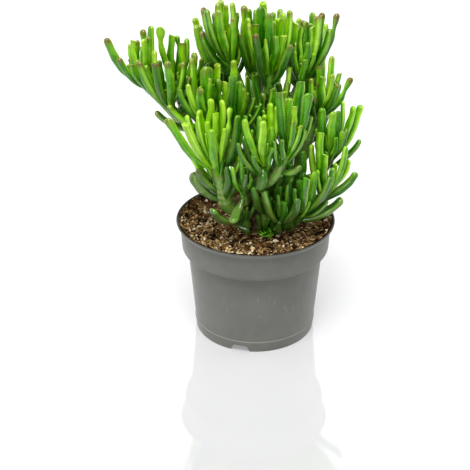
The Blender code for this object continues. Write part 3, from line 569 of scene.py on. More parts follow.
# Leafy shoots: name, fork, foot of the stem, top of the stem, stem radius, and its leading leaves.
# A leaf is (place along the stem, heading, lean, length) and its radius where that is unusual.
SHOOTS = [
    ("front_left", "waist", (-22, -27, 117), (-32, -37, 165), 5.4, [
        (0.05, 185, 45, 33, 4.6), (0.1, 345, 18, 38, 4.4), (0.05, 275, 20, 35), (0.3, 190, 45, 28, 3.3),
        (0.5, 140, 75, 26), (0.6, 155, 65, 32), (0.6, 260, 25, 44), (0.65, 345, 20, 45),
        (0.7, 20, 35, 41), (0.85, 190, 45, 45), (0.9, 225, 40, 40), (0.9, 185, 30, 35),
        (0.95, 175, 15, 32, 3.2), (0.9, 325, 20, 41, 2.6), (0.95, 5, 10, 39), (1, 255, 20, 26),
        (1, 310, 10, 29), (0.95, 285, 35, 30, 2.0)]),
    ("left_mid", "left", (-32, -14, 166), (-39, -20, 184), 3.8, [
        (0.4, 200, 55, 35), (0.6, 195, 35, 33), (0.7, 220, 25, 34), (0.85, 255, 25, 30, 3.4),
        (0.85, 40, 5, 37, 4.2), (0.95, 50, 20, 37), (0.2, 170, 70, 41)]),
    ("mid", "heart", (-16, -12, 161), (-18, -16, 179), 3.6, [
        (0.6, 190, 15, 39), (0.85, 240, 15, 34), (0.9, 60, 5, 29), (0.75, 350, 15, 29, 3.2),
        (0.5, 35, 25, 27), (0.4, 35, 40, 28)]),
    ("left_back", "left_tip", (-53, 8, 176), (-58, 8, 196), 3.6, [
        (0.6, 210, 15, 52, 2.4), (0.85, 80, 5, 38, 2.2), (0.95, 335, 10, 33), (1, 25, 15, 34),
        (0.85, 40, 35, 28, 3.2), (0.6, 30, 40, 29), (0.9, 290, 30, 25, 3.0), (1, 305, 40, 26),
        (0.9, 315, 35, 29)]),
    ("left_low", "left_tip", (-55, -6, 175), (-66, -8, 189), 3.8, [
        (0.6, 205, 30, 45), (0.75, 245, 25, 41), (0.85, 180, 25, 32), (0.95, 130, 10, 30),
        (0.6, 110, 25, 32), (0.3, 235, 10, 29, 3.4)]),
    ("left_tip", "left_tip", (-72, 2, 189), (-83, 2, 200), 3.3, [
        (0.6, 195, 35, 48), (0.7, 220, 40, 34), (0.9, 180, 15, 30, 2.0), (1, 130, 5, 30, 2.1),
        (1, 285, 30, 25, 1.9), (1, 45, 15, 33), (0.9, 50, 15, 41)]),
    ("crown_left", "crown", (-11, 9, 190), (-22, 7, 222), 3.8, [
        (0.4, 195, 35, 42), (0.7, 185, 25, 45), (0.75, 215, 25, 45), (0.8, 180, 20, 42, 2.7),
        (0.85, 225, 25, 40, 2.5), (0.95, 205, 10, 37), (0.9, 250, 25, 41), (0.95, 95, 10, 33, 2.2),
        (0.9, 335, 5, 38), (0.75, 40, 10, 33), (0.7, 260, 20, 42, 2.5)]),
    ("crown_mid", "crown", (1, 19, 187), (0, 18, 206), 3.5, [
        (0.6, 180, 10, 53, 2.9), (0.8, 135, 10, 45, 2.5), (0.85, 235, 15, 43, 2.7),
        (0.85, 265, 20, 41, 2.5), (0.9, 105, 10, 42, 2.2), (1, 310, 5, 45), (0.6, 235, 30, 44, 2.4)]),
    ("crown_front", "crown_right", (8, 4, 191), (11, 0, 211), 3.8, [
        (0.25, 230, 20, 46), (0.8, 235, 5, 45), (0.9, 80, 5, 35), (0.9, 55, 15, 38, 2.1),
        (0.9, 280, 20, 31), (1, 305, 20, 29), (0.4, 310, 25, 40), (0.8, 5, 15, 47),
        (0.8, 45, 15, 43, 2.7)]),
    ("crown_right", "crown_right", (30, 8, 188), (36, 6, 207), 3.8, [
        (0.9, 105, 15, 37, 2.3), (0.95, 355, 5, 33), (1, 35, 10, 42), (0.95, 335, 10, 42),
        (0.7, 0, 25, 40), (0.5, 0, 24, 56, 3.0), (0.6, 100, 15, 33), (0.5, 170, 10, 30),
        (0.35, 275, 30, 29), (0.8, 275, 20, 30)]),
    ("right_upper", "right", (41, 6, 161), (47, 5, 181), 3.6, [
        (0.5, 215, 15, 36), (0.8, 240, 20, 32), (0.9, 250, 10, 34), (0.9, 270, 25, 31),
        (0.9, 25, 15, 28), (0.9, 25, 25, 28), (0.5, 15, 35, 38)]),
    ("front_mid", "front", (14, -38, 146), (24, -38, 167), 3.7, [
        (0.95, 220, 15, 46), (0.9, 40, 10, 49), (0.95, 0, 15, 43), (1, 275, 15, 35, 2.3),
        (1, 40, 15, 25), (0.45, 5, 30, 37), (0.1, 330, 65, 19, 3.4), (0.9, 105, 15, 36),
        (0.3, 245, 30, 28, 1.9), (0.4, 265, 25, 25)]),
    ("front_low", "front", (3, -40, 141), (6, -42, 161), 3.3, [
        (0.4, 160, 15, 32), (0.85, 230, 10, 36), (0.8, 135, 20, 25), (0.9, 330, 10, 26),
        (0.3, 145, 35, 19)]),
    ("inner_mid", "heart", (8, -2, 148), (8, -2, 169), 3.6, [
        (0.6, 235, 10, 35), (0.8, 350, 20, 39), (0.9, 25, 20, 46, 2.8), (0.6, 5, 30, 43),
        (0.5, 290, 35, 31), (0.4, 210, 35, 30)]),
    ("inner_right", "right", (26, 14, 137), (33, 13, 156), 3.4, [
        (0.7, 55, 5, 50, 2.8), (0.9, 335, 10, 48, 2.6)]),
    ("right_mid", "right", (49, 2, 128), (58, -2, 148), 3.8, [
        (0.4, 235, 5, 49), (0.6, 270, 15, 44), (0.85, 305, 5, 35), (0.95, 45, 10, 38, 2.0),
        (1, 290, 30, 22), (0.8, 15, 20, 40), (0.6, 10, 30, 46), (0.3, 340, 45, 35, 2.4),
        (0.6, 350, 25, 31)]),
    ("right_low", "low_right", (39, -10, 105), (54, -14, 121), 3.8, [
        (0.85, 0, 30, 31), (0.5, 10, 55, 34, 3.4), (1, 245, 20, 36), (0.9, 235, 25, 28),
        (0.3, 85, 15, 28), (1, 45, 15, 21), (0.6, 240, 5, 54, 3.2)]),
    ("right_stem", "low_right", (27, -18, 96), (34, -22, 111), 3.9, [
        (0.6, 315, 5, 35), (0.9, 30, 15, 27), (0.25, 5, 65, 38, 4.2), (0.6, 335, 55, 27),
        (0.3, 280, 8, 38)]),
    ("low_front", "low", (17, -18, 92), (20, -24, 104), 3.1, [
        (0.8, 305, 15, 34, 3.3), (0.8, 250, 25, 29), (0.5, 275, 28, 27, 3.0), (0.4, 350, 30, 29, 3.0)]),
    ("heart", "low", (6, -18, 99), (9, -20, 114), 3.6, [
        (0.5, 285, 5, 29, 3.1), (0.6, 335, 20, 30, 3.2), (0.8, 350, 35, 31, 3.2), (0.5, 5, 35, 39)]),
    ("low_left", "elbow", (-9, -28, 120), (-9, -32, 130), 3.3, [
        (0.8, 290, 15, 24), (0.6, 243, 122, 24, 3.6)]),
    ("trunk_left", "low", (-7, -16, 95), (-9, -20, 101), 3.2, [
        (0.9, 222, 52, 36, 3.8), (0.8, 240, 30, 16)]),
    ("back_left", "back", (-30, 28, 138), (-44, 40, 158), 3.8, []),
    ("back_low_left", "back", (-22, 34, 112), (-38, 50, 124), 3.8, []),
    ("back_mid", "back", (0, 36, 130), (2, 54, 150), 3.8, []),
    ("back_right", "back", (34, 26, 132), (46, 38, 152), 3.8, []),
    ("back_low_right", "back", (26, 36, 108), (36, 52, 120), 3.8, []),
    ("crown_back", "back_high", (6, 34, 182), (8, 44, 202), 3.8, []),
    ("crown_back_right", "back_high", (28, 28, 178), (38, 36, 196), 3.6, []),
    ("crown_back_left", "back_high", (-20, 28, 178), (-30, 36, 196), 3.6, []),
]


def curve_between(start, start_aim, end, end_aim, count):
    """Points on a smooth curve with the given directions at its ends."""
    pull = (end - start).length * CURVE_PULL
    points = []
    for i in range(count):
        t = i / (count - 1)
        s = 1 - t
        ends = start * (s * s * (1 + 2 * t)) + end * (t * t * (3 - 2 * t))
        points.append(ends + start_aim * (pull * t * s * s) - end_aim * (pull * t * t * s))
    return points


def fork_aim(name):
    """The way a limb points where it reaches its fork."""
    parent, place, _ = FORKS[name]
    if parent is None:
        return Vector((0, 0, 1))
    return (Vector(place) - Vector(FORKS[parent][1])).normalized()


def limb(name):
    """Points and radii of the limb that ends at a fork."""
    parent, place, radius = FORKS[name]
    start = Vector(FORKS[parent][1])
    count = 2 if name in STRAIGHT_LIMBS else 4
    points = curve_between(start, fork_aim(parent), Vector(place), fork_aim(name), count)
    first = min(FORKS[parent][2], radius * LIMB_SWELL)
    radii = [first + (radius - first) * i / (count - 1) for i in range(count)]
    return points, radii


def stem_path(shoot):
    """Fine points from a shoot's fork to the foot of its stem, and on to the stem's top."""
    _, fork, foot, top, _, _ = shoot
    start, foot, top = Vector(FORKS[fork][1]), Vector(foot), Vector(top)
    start_aim = (fork_aim(fork) + (foot - start).normalized()).normalized()
    path = curve_between(start, start_aim, foot, (top - foot).normalized(), PATH_STEPS + 1)
    return path, [foot.lerp(top, share) for share in (0.25, 0.5, 0.75, 1)]


def stem_rows(shoot):
    """A shoot's path and stem as rows of one radius."""
    path, stem = stem_path(shoot)
    return samples(path + stem, [shoot[4]] * (len(path) + len(stem)))


def collar_step(shoot):
    """First step of the path, near the stem's foot, from which the stem stands clear of other wood."""
    others = [along_path(*limb(name)) for name in FORKS if FORKS[name][0]]
    others += [stem_rows(other) for other in SHOOTS if other[0] != shoot[0]]
    others = np.concatenate(others)
    path, _ = stem_path(shoot)
    length = sum((b - a).length for a, b in zip(path, path[1:]))
    rows = stem_rows(shoot)
    step = round(max(1 - COLLAR_LENGTH / length, 0.3) * PATH_STEPS)
    while step < PATH_STEPS - 1 and nearest(rows[step:], others) < STEM_CLEARANCE:
        step += 1
    return step


def samples(points, radii):
    """Points and radii as rows for the clearance test."""
    return np.array([(*point, radius) for point, radius in zip(points, radii)])


def along_path(points, radii, step=2.5):
    """Rows every few millimetres along a path."""
    rows = []
    for a, b, ra, rb in zip(points, points[1:], radii, radii[1:]):
        count = max(1, math.ceil((b - a).length / step))
        rows += [(*a.lerp(b, i / count), ra + (rb - ra) * i / count) for i in range(count)]
    rows.append((*points[-1], radii[-1]))
    return np.array(rows)


def nearest(rows, others):
    """Smallest gap between two sets of rows."""
    if not len(others):
        return math.inf
    apart = np.linalg.norm(rows[:, None, :3] - others[None, :, :3], axis=2)
    return float((apart - rows[:, None, 3] - others[None, :, 3]).min())


def tube(points, radii, sides):
    """Closed tube through the points."""
    vertices, faces = [], []
    side = Vector((0, 1, 0))
    count = len(points)
    for i, (point, radius) in enumerate(zip(points, radii)):
        along = (points[min(i + 1, count - 1)] - points[max(i - 1, 0)]).normalized()
        side = (side - along * side.dot(along)).normalized()
        up = along.cross(side)
        for k in range(sides):
            turn = math.tau * k / sides
            vertices.append(point + (side * math.cos(turn) + up * math.sin(turn)) * radius)
    for i in range(count - 1):
        faces += quads_round(i * sides, sides)
    faces.append(tuple(reversed(range(sides))))
    faces.append(tuple(range((count - 1) * sides, count * sides)))
    return vertices, faces


def joined(bodies):
    """One list of vertices and faces from several."""
    vertices, faces = [], []
    for more, more_faces in bodies:
        start = len(vertices)
        vertices += more
        faces += [tuple(start + i for i in face) for face in more_faces]
    return vertices, faces


# Bark: green skin with tan, brown and grey-green patches; tan and dark brown grow towards the bottom
BARK_GREEN = (0.115, 0.235, 0.036)
BARK_PALE = (0.26, 0.37, 0.11)
BARK_TAN = (0.34, 0.24, 0.13)
BARK_BROWN = (0.080, 0.055, 0.028)
bark_finish, tree, shader = new_finish("bark", {"Roughness": 0.58, "Specular IOR Level": 0.4})
place = object_place(tree)
height = add_node(tree, "ShaderNodeSeparateXYZ", {0: place}).outputs["Z"]
colour = blend_colour(tree, spread(tree, mottle(tree, 14.0, 0.3), 0.35, 0.65), BARK_GREEN, BARK_PALE)
# Darker and browner towards the bottom
age = spread(tree, height, 0.150, 0.088, -0.12, 0.46)
tan = spread(tree, maths(tree, "ADD", mottle(tree, 6.0, 0.5, 1.2), age), 0.5, 0.78)
colour = blend_colour(tree, tan, colour, BARK_TAN)
brown = spread(tree, maths(tree, "ADD", mottle(tree, 3.1, 0.6, 1.2), age), 0.72, 0.98)
colour = blend_colour(tree, brown, colour, BARK_BROWN)
tree.links.new(colour, shader.inputs["Base Color"])
bump(tree, shader, noise_over(tree, place, 420.0, 4.0, stretch=3.5), 0.3, 0.8)

bodies = []
for name, (parent, _, _) in FORKS.items():
    if parent:
        points, radii = limb(name)
        fine = curve_between(points[0], fork_aim(parent), points[-1], fork_aim(name), PATH_STEPS)
        widths = [radii[0] + (radii[-1] - radii[0]) * i / (PATH_STEPS - 1) for i in range(PATH_STEPS)]
        bodies.append(tube(fine, widths, LIMB_SIDES))
for shoot in SHOOTS:
    path, _ = stem_path(shoot)
    edge = collar_step(shoot)
    across = (path[edge + 1] - path[edge - 1]).normalized()
    points = path[:edge] + [path[edge] - across * GAP / 2]
    widths = [shoot[4] * (STUB_TAPER[0] + (1 - STUB_TAPER[0]) * i / edge) for i in range(edge + 1)]
    bodies.append(tube(points, widths, LIMB_SIDES))
foot, radius = Vector(FORKS["collar"][1]), FORKS["collar"][2]
flare_top, sunk = foot + Vector((0, 0, ROOT_FLARE_HEIGHT)), Vector((0, 0, ROOT_FLARE_SUNK))
shares = [i / 6 for i in range(7)]
widths = [radius + (radius * ROOT_FLARE - radius) * (1 - share) ** 2 for share in shares]
bodies.append(tube([foot.lerp(flare_top, share) - sunk for share in shares], widths, LIMB_SIDES))
trunk = piece("trunk_and_limbs", *joined(bodies), bark_finish)
skin = trunk.modifiers.new("Skin", "REMESH")
skin.mode = "VOXEL"
skin.voxel_size = BARK_VOXEL * MM
smoothing = trunk.modifiers.new("Smoothing", "SMOOTH")
smoothing.factor = 0.5
smoothing.iterations = BARK_SMOOTHING
bake_modifiers(trunk)
count = len(trunk.data.vertices)
places, ways = np.empty(count * 3), np.empty(count * 3)
trunk.data.vertices.foreach_get("co", places)
trunk.data.vertices.foreach_get("normal", ways)
places, ways = places.reshape(-1, 3), ways.reshape(-1, 3)
relief = []
for x, y, z in (places / MM).tolist():
    spot = Vector((x, y, z * RINGED))
    relief.append(sum(depth * noise.noise(spot / size) for size, depth in BARK_WRINKLES))
relief = np.array(relief)
trunk.data.vertices.foreach_set("co", (places + ways * relief[:, None] * MM).ravel())
trunk.data.shade_smooth()
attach(trunk, "root")
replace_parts(trunk, "trunk")

# Leaves: thick water-filled fingers with a waxy skin, rounded below and cut off at the tip like a
# spoon or a funnel, often with a reddish-brown rim. They stand round the head of each green stem,
# oldest and widest-leaning below, and these are the placing rules that the solids follow too.
ROOT_DROP = 0.45
ROOT_INSET = 0.4
BOW = 0.07
OUTWARD_BOW = 0.17
NECK = 0.43
LEAF_WIDEN = 0.98
TIP_NARROWING = 0.2
LEAF_CLEARANCE = 0.9
LEAF_SAMPLES = 16
FREE_FROM = 7
GOLDEN_ANGLE = 137.5
LEAVES_PER_SHOOT = 9
FEW_LEAVES = {"low_left": 3, "low_front": 6}
SLIM_LEAVES = 16
SEED = 7
STEM_TAPER = (0.98, 1, 0.94, 0.62)
# Turns of heading and lean, and shares of the length, tried in order to bend a leaf clear
BENDS = [(0, 0, 1), (9, 0, 1), (-9, 0, 1), (0, 7, 1), (0, -7, 1), (18, 0, 0.95), (-18, 0, 0.95),
         (9, 7, 0.85), (-9, -7, 0.85), (26, 0, 0.8), (-26, 0, 0.8), (0, 0, 0.75), (0, 0, 0.6)]


def split_stem(shoot):
    """Stub up to a shoot's collar, and its own stem above, each as (points, radii)."""
    radius = shoot[4]
    path, stem = stem_path(shoot)
    edge = collar_step(shoot)
    across = (path[edge + 1] - path[edge - 1]).normalized()
    stub_points = [path[0], path[edge // 2], path[edge] - across * GAP / 2]
    stub_radii = [radius * taper for taper in STUB_TAPER]
    stem_points = [path[edge] + across * GAP / 2, path[-1], stem[1], stem[-1]]
    stem_radii = [radius * taper for taper in STEM_TAPER]
    if (path[-1] - path[edge]).length <= radius:
        del stem_points[1], stem_radii[1]
    return (stub_points, stub_radii), (stem_points, stem_radii)


def leaf_line(shoot, t, heading, lean, length, count):
    """Points of a leaf from inside the stem to its tip: the wider it leans, the lower its root."""
    _, _, foot, top, stem_radius, _ = shoot
    foot, top = Vector(foot), Vector(top)
    outward = math.sin(math.radians(min(lean, 90)))
    start = foot.lerp(top, t * (1 - ROOT_DROP * outward)) + aim(heading, 90) * stem_radius * ROOT_INSET
    tip = foot.lerp(top, t) + aim(heading, lean) * length
    bend = (start + tip) / 2 + aim(heading, lean + 90) * length * (BOW + OUTWARD_BOW * outward)
    points = []
    for i in range(count):
        u = i / (count - 1)
        points.append(start * ((1 - u) ** 2) + bend * (2 * u * (1 - u)) + tip * (u * u))
    return points


def leaf_radius(share, radius):
    """Slim where it leaves the stem, full from the middle up, blunt at the tip."""
    widening = NECK + (1 - NECK) * ease(share / 0.5)
    return radius * widening * (1 - TIP_NARROWING * ease((share - 0.88) / 0.12))


def usual_radius(length):
    """Radius of a leaf that isn't given one."""
    return 1.25 + 0.042 * length


def clear_of_pot(rows):
    """True where a leaf stays above the soil and off the pot's lip."""
    from_axis = np.hypot(rows[:, 0], rows[:, 1])
    lowest = rows[:, 2] - rows[:, 3]
    over_soil = (from_axis < 50) & (lowest < SOIL_LEVEL + 4)
    near_lip = (from_axis >= 50) & (lowest < POT_HEIGHT + 1.5)
    return not (over_soil | near_lip).any()


def fit_leaf(shoot, leaf, placed, fixed, collar, must_fit):
    """A leaf bent clear of wood, shoots and neighbours, with its rows; None where none fits."""
    name, _, foot, top, _, _ = shoot
    t, heading, lean, length = leaf[:4]
    radius = leaf[4] if len(leaf) > 4 else usual_radius(length)
    others = np.concatenate([rows for owner, rows in placed if owner != name] + [fixed])
    near = length + math.dist(foot, top) + 15
    others = others[np.linalg.norm(others[:, :3] - np.array(foot), axis=1) < near]
    own = [rows[FREE_FROM:] for owner, rows in placed if owner == name]
    own = np.concatenate(own) if own else []
    fallback = None
    for turn, tilt, share in BENDS:
        bent = (heading + turn, max(lean + tilt, 0), length * share)
        points = leaf_line(shoot, t, *bent, LEAF_SAMPLES)
        radii = [leaf_radius(i / (LEAF_SAMPLES - 1), radius) * LEAF_WIDEN for i in range(LEAF_SAMPLES)]
        rows = samples(points, radii)
        if not clear_of_pot(rows) or nearest(rows, collar) < GAP:
            continue
        if nearest(rows, others) < LEAF_CLEARANCE:
            continue
        if nearest(rows[FREE_FROM:], own) > 0:
            return (t, *bent, radius), rows
        if must_fit and fallback is None:
            fallback = (t, *bent, radius), rows
    return fallback


def grown_leaves(rng, count):
    """Leaves by rule: turned by the golden angle, upright at the stem's top and spreading below."""
    start = rng.uniform(0, 360)
    for k in range(count):
        down = (k + 0.4) / count
        lean = 10 + 48 * down ** 0.9 + rng.uniform(-6, 6)
        length = 29 + 15 * math.sin(math.pi * min(down + 0.15, 1)) + rng.uniform(-4, 4)
        yield 1 - 0.85 * down, (start + k * GOLDEN_ANGLE) % 360, lean, length


def slim_leaves(rng):
    """Thinner leaves that fill the room left between the others: one set for each stem."""
    start = rng.uniform(0, 360)
    for k in range(SLIM_LEAVES):
        place = rng.uniform(0.3, 1.0)
        length = rng.uniform(20, 38)
        lean = 6 + 38 * (1 - place) + rng.uniform(-4, 12)
        yield place, (start + k * GOLDEN_ANGLE) % 360, lean, length, 1.05 + 0.028 * length


def foliage(splits):
    """Every shoot's leaves as name: list of (place, heading, lean, length, radius)."""
    names = [shoot[0] for shoot in SHOOTS]
    limbs = [along_path(*limb(name)) for name in FORKS if FORKS[name][0]]
    collars = {name: along_path(*stub) for name, (stub, _) in zip(names, splits)}
    stems = {name: along_path(*stem) for name, (_, stem) in zip(names, splits)}
    fixed = {name: np.concatenate(limbs + [rows for other in names if other != name
                                           for rows in (collars[other], stems[other])]) for name in names}
    leaves = {name: [] for name in names}
    placed = []

    def place(shoot, leaf, must_fit):
        name = shoot[0]
        fitted = fit_leaf(shoot, leaf, placed, fixed[name], collars[name], must_fit)
        if fitted:
            leaves[name].append(fitted[0])
            placed.append((name, fitted[1]))

    for shoot in SHOOTS:
        for leaf in shoot[5]:
            place(shoot, leaf, True)
    for index, shoot in enumerate(SHOOTS):
        own = leaves[shoot[0]]
        wanted = FEW_LEAVES.get(shoot[0]) or max(LEAVES_PER_SHOOT, len(own) + 1)
        for leaf in grown_leaves(random.Random(SEED + index), wanted * 3):
            if len(own) < wanted:
                place(shoot, leaf, False)
    for index, shoot in enumerate(SHOOTS):
        for leaf in slim_leaves(random.Random(SEED + 100 + index)):
            place(shoot, leaf, False)
    return leaves


# Leaf skin: "age" runs from new yellow-green to old blue-green, "blush" is the reddish-brown tip,
# "edge" the paler lines along a leaf's two rims, partly their own pale colour and partly painted
# highlight and painted glow of light through them, and "bark" turns it into the skin of the green stem
LEAF_AGES = [(0.0, (0.34, 0.63, 0.008)), (0.25, (0.138, 0.425, 0.004)), (0.5, (0.047, 0.230, 0.003)),
             (0.75, (0.072, 0.182, 0.018)), (1.0, (0.092, 0.195, 0.058))]
LEAF_BLUSH = (0.21, 0.115, 0.040)
# Partly the rims' own pale colour, partly painted highlight and painted glow of light through them
LEAF_PALE_RIM_AND_HIGHLIGHT = (0.62, 0.90, 0.14)
LEAF_DOTS = (0.42, 0.60, 0.22)
STEM_GREEN = (0.22, 0.43, 0.085)
STEM_TAN = (0.34, 0.34, 0.15)
DOTS_PER_METRE = 620.0
leaf_finish, tree, shader = new_finish("leaf_skin", {
    "Roughness": 0.3, "Specular IOR Level": 0.5, "Coat Weight": 0.9, "Coat Roughness": 0.09,
    "Subsurface Weight": 0.10, "Subsurface Radius": (0.6, 1.0, 0.12), "Subsurface Scale": 2.2 * MM})
patchy = drift(tree, 0.65, 7.0, 0.3)
colour = colour_ramp(tree, maths(tree, "ADD", value_of(tree, "age"), patchy), LEAF_AGES)
spots = add_node(tree, "ShaderNodeTexVoronoi", {"Vector": object_place(tree), "Scale": DOTS_PER_METRE})
dotted = maths(tree, "MULTIPLY", spread(tree, spots.outputs["Distance"], 0.22, 0.10), 0.25)
colour = blend_colour(tree, dotted, colour, LEAF_DOTS)
# Pale rim lines: partly their own colour, partly painted highlight and glow
colour = blend_colour(tree, maths(tree, "MULTIPLY", value_of(tree, "edge"), 0.85), colour, LEAF_PALE_RIM_AND_HIGHLIGHT)
stem_colour = blend_colour(tree, spread(tree, mottle(tree, 4.5, 0.5), 0.42, 0.66), STEM_GREEN, STEM_TAN)
colour = blend_colour(tree, value_of(tree, "bark"), colour, stem_colour)
uneven = spread(tree, mottle(tree, 2.6, 0.5, 1.5), 0.2, 0.62, 0.35, 1.0)
colour = blend_colour(tree, maths(tree, "MULTIPLY", value_of(tree, "blush"), uneven), colour, LEAF_BLUSH)
tree.links.new(colour, shader.inputs["Base Color"])
tree.links.new(spread(tree, mottle(tree, 5.0, 0.6), 0.25, 0.75, 0.22, 0.36), shader.inputs["Roughness"])
bump(tree, shader, mottle(tree, 1.6, 0.5), 0.22, 0.5)

# A leaf's body: how finely it is swept, how far its end reaches back and where its neck lies, in
# radii, the pitch and height of its swellings, how far it sways, and how deep its channel is
LEAF_SIDES = 16
BODY_RINGS = 18
LEAF_POINTS = 40
RING_CROWDING = 0.85
END_REACH = 4.2
NECK_BACK, NECK_WIDTH = 2.6, 1.5
HEAD_TAPER = 0.14
SWELLING_PITCH = (8, 15)
SWELLING = 0.04
LEAST_SWAY, MORE_SWAY = 0.5, 0.7
CHANNEL_DEPTH = (0.15, 0.95)
# A stem: sunk in its collar, domed at its head, with a ring at every leaf scar and a knob at its foot
STEM_SUNK = 2.5
STEM_STEP = 0.8
STEM_HEAD = [(0, 1), (0.5, 0.9), (0.85, 0.65), (1.0, 0.25)]
STEM_AGE = 0.4
SCAR_SPACING = 5.5
SCAR_SWELL = 0.05
KNOB_SWELL = 1.07
YOUNG_LEAVES = 6
# How a leaf ends. Flare widens it and flat thins it towards the tip, neck pinches it first, tilt
# slopes its end towards the stem, and the cap's rings are (advance, scale) in tip radii.
DOME = [(0.36, 0.965), (0.68, 0.84), (0.92, 0.64), (1.06, 0.41), (1.11, 0.22), (1.12, 0.08)]
DISH = [(0.24, 0.99), (0.42, 0.91), (0.50, 0.77), (0.47, 0.59), (0.38, 0.38), (0.32, 0.18)]
CUP = [(0.20, 1.01), (0.36, 0.96), (0.42, 0.86), (0.32, 0.73), (0.0, 0.57), (-0.35, 0.30)]
THIN = [(0.35, 0.96), (0.68, 0.82), (0.95, 0.60), (1.10, 0.36), (1.14, 0.15)]
TIP_KINDS = {
    "blunt": {"flare": -0.04, "flat": 0.05, "neck": 0.0, "tilt": 0.12, "dent": 0.0, "cap": DOME},
    "club": {"flare": 0.22, "flat": 0.0, "neck": 0.0, "tilt": 0.1, "dent": 0.0, "cap": DOME},
    "cut": {"flare": 0.05, "flat": 0.10, "neck": 0.04, "tilt": 0.35, "dent": 0.0, "cap": DISH},
    "cup": {"flare": 0.10, "flat": 0.04, "neck": 0.10, "tilt": 0.30, "dent": 0.0, "cap": CUP},
    "spoon": {"flare": 0.34, "flat": 0.40, "neck": 0.30, "tilt": 1.3, "dent": 0.5, "cap": DISH},
    "paddle": {"flare": 0.24, "flat": 0.30, "neck": 0.06, "tilt": 0.4, "dent": 0.25, "cap": THIN},
    "bulb": {"flare": 0.10, "flat": 0.0, "neck": 0.45, "tilt": 0.15, "dent": 0.0, "cap": DOME},
    "crest": {"flare": 0.40, "flat": 0.55, "neck": 0.0, "tilt": 0.3, "dent": 0.3, "cap": THIN},
}
USUAL_TIPS = ["blunt"] * 16 + ["cut"] * 3 + ["cup"] * 3 + ["bulb"]
YOUNG_TIPS = ("blunt", "cut")
# The leaves whose ends stand out, by shoot and number: how they end and the way they face
MARKED_TIPS = {
    "left_back": {0: ("spoon", 265), 1: ("bulb", 80), 2: ("cut", 265)},
    "left_tip": {0: ("blunt", 250), 6: ("blunt", 50)}, "left_low": {0: ("blunt", 205), 1: ("cup", 245)},
    "left_mid": {4: ("paddle", 285), 5: ("cut", 50)}, "low_left": {0: ("cup", 290), 1: ("blunt", 240)},
    "front_left": {0: ("club", 200), 1: ("blunt", 300), 2: ("blunt", 275), 9: ("paddle", 250),
                   10: ("cup", 225), 11: ("blunt", 185)},
    "trunk_left": {0: ("blunt", 224)}, "crown_mid": {5: ("paddle", 275)},
    "crown_right": {5: ("bulb", 330)}, "crown_front": {0: ("blunt", 265), 5: ("cup", 290)},
    "right_upper": {6: ("bulb", 300)},
    "front_mid": {0: ("cup", 250), 1: ("cut", 270), 2: ("paddle", 280)}, "right_stem": {2: ("blunt", 5)},
    "right_low": {1: ("blunt", 300)},
}
# Age and blush of each shoot's leaves; a shoot that isn't named is middling
SHOOT_LOOKS = {
    "front_left": (0.25, 0.12), "left_mid": (0.31, 0.45), "mid": (0.36, 0.30),
    "left_back": (0.34, 0.50), "left_low": (0.42, 0.65), "left_tip": (0.33, 0.60),
    "crown_left": (0.38, 0.60), "crown_mid": (0.38, 0.55), "crown_front": (0.42, 0.45),
    "crown_right": (0.42, 0.65), "right_upper": (0.42, 0.70), "front_mid": (0.34, 0.35),
    "front_low": (0.34, 0.12), "inner_mid": (0.50, 0.40), "inner_right": (0.55, 0.30),
    "right_mid": (0.42, 0.15), "right_low": (0.36, 0.10), "right_stem": (0.62, 0.05),
    "low_front": (0.66, 0.0), "heart": (0.72, 0.0), "low_left": (0.70, 0.05), "trunk_left": (0.80, 0.0),
}
MIDDLING = (0.46, 0.35)
FACING_SPREAD = (-40, 40)
AGE_SPREAD = 0.24
BLUSH_SPREAD = (0.3, 1.6)
# Ages of the leaves that are much younger or older than the rest of their shoot
ODD_AGES = {
    "front_left": {0: 0.95, 1: 0.86, 2: 0.80, 3: 0.88, 4: 0.80, 7: 0.55, 8: 0.58},
    "left_mid": {4: 0.38, 6: 0.98}, "left_low": {5: 0.75}, "left_back": {0: 0.10}, "left_tip": {0: 0.42},
    "crown_front": {0: 0.62}, "crown_left": {0: 0.62}, "low_left": {1: 0.90},
    "trunk_left": {0: 0.97, 1: 0.86}, "front_mid": {0: 0.42, 1: 0.40, 2: 0.46, 5: 0.58},
    "front_low": {0: 0.62}, "right_low": {1: 0.66},
}
# Leaves whose tips are browner than the rest, and how brown they are
BROWN_TIPS = {
    "left_tip": {0: 0.9, 1: 0.8}, "left_low": {0: 0.9, 1: 0.9}, "left_back": {2: 0.8},
    "crown_left": {0: 0.8, 1: 0.9}, "crown_right": {2: 0.9}, "crown_front": {0: 0.8},
    "right_upper": {6: 0.9}, "front_left": {3: 0.4, 9: 0.6},
}
# Cut leaves with a pale dry ring round the end and leaves under a bloom of dust, and how much of it
SCARRED_TIPS = {"crown_front": {5: 1.3}, "low_left": {0: 1.3}, "front_left": {10: 1.3}}
DUSTY_LEAVES = {"low_left": {1: 0.5}, "front_left": {0: 0.15}, "front_low": {1: 0.2}}
# Old leaves outside the rosettes: one hangs before the front fork, one lies on the soil and the rest
# rise from under the lowest stems. Each is its start, bend, tip, radius and age.
STRAY_FACING = 262
STRAY_LEAVES = {
    "front_low": [((4.7, -41.5, 153), (4.4, -50, 155), (1.6, -48.5, 138), 3.2, 0.78)],
    "trunk_left": [((-14, -13, 95), (-12, -18, 95), (-5, -20, 87.5), 2.5, 0.95)],
    "heart": [((4, -12, 85), (1, -22, 93), (1.5, -24, 106), 2.1, 0.80),
              ((8, -12, 86), (7, -23, 94), (9.5, -25, 104.5), 1.8, 0.62),
              ((12, -13, 86), (12, -25, 99), (15, -25, 118), 2.2, 0.74)],
    "low_front": [((14, -12, 85), (18, -27, 91), (17, -28, 103), 2.3, 0.90),
                  ((19, -13, 86), (22, -29, 96), (28, -27, 121), 2.7, 0.60)],
    "right_stem": [((24, -13, 86), (26, -27, 95), (24, -27, 109), 2.1, 0.84),
                   ((26, -14, 88), (31, -25, 97), (34, -25, 115), 2.2, 0.70)],
}


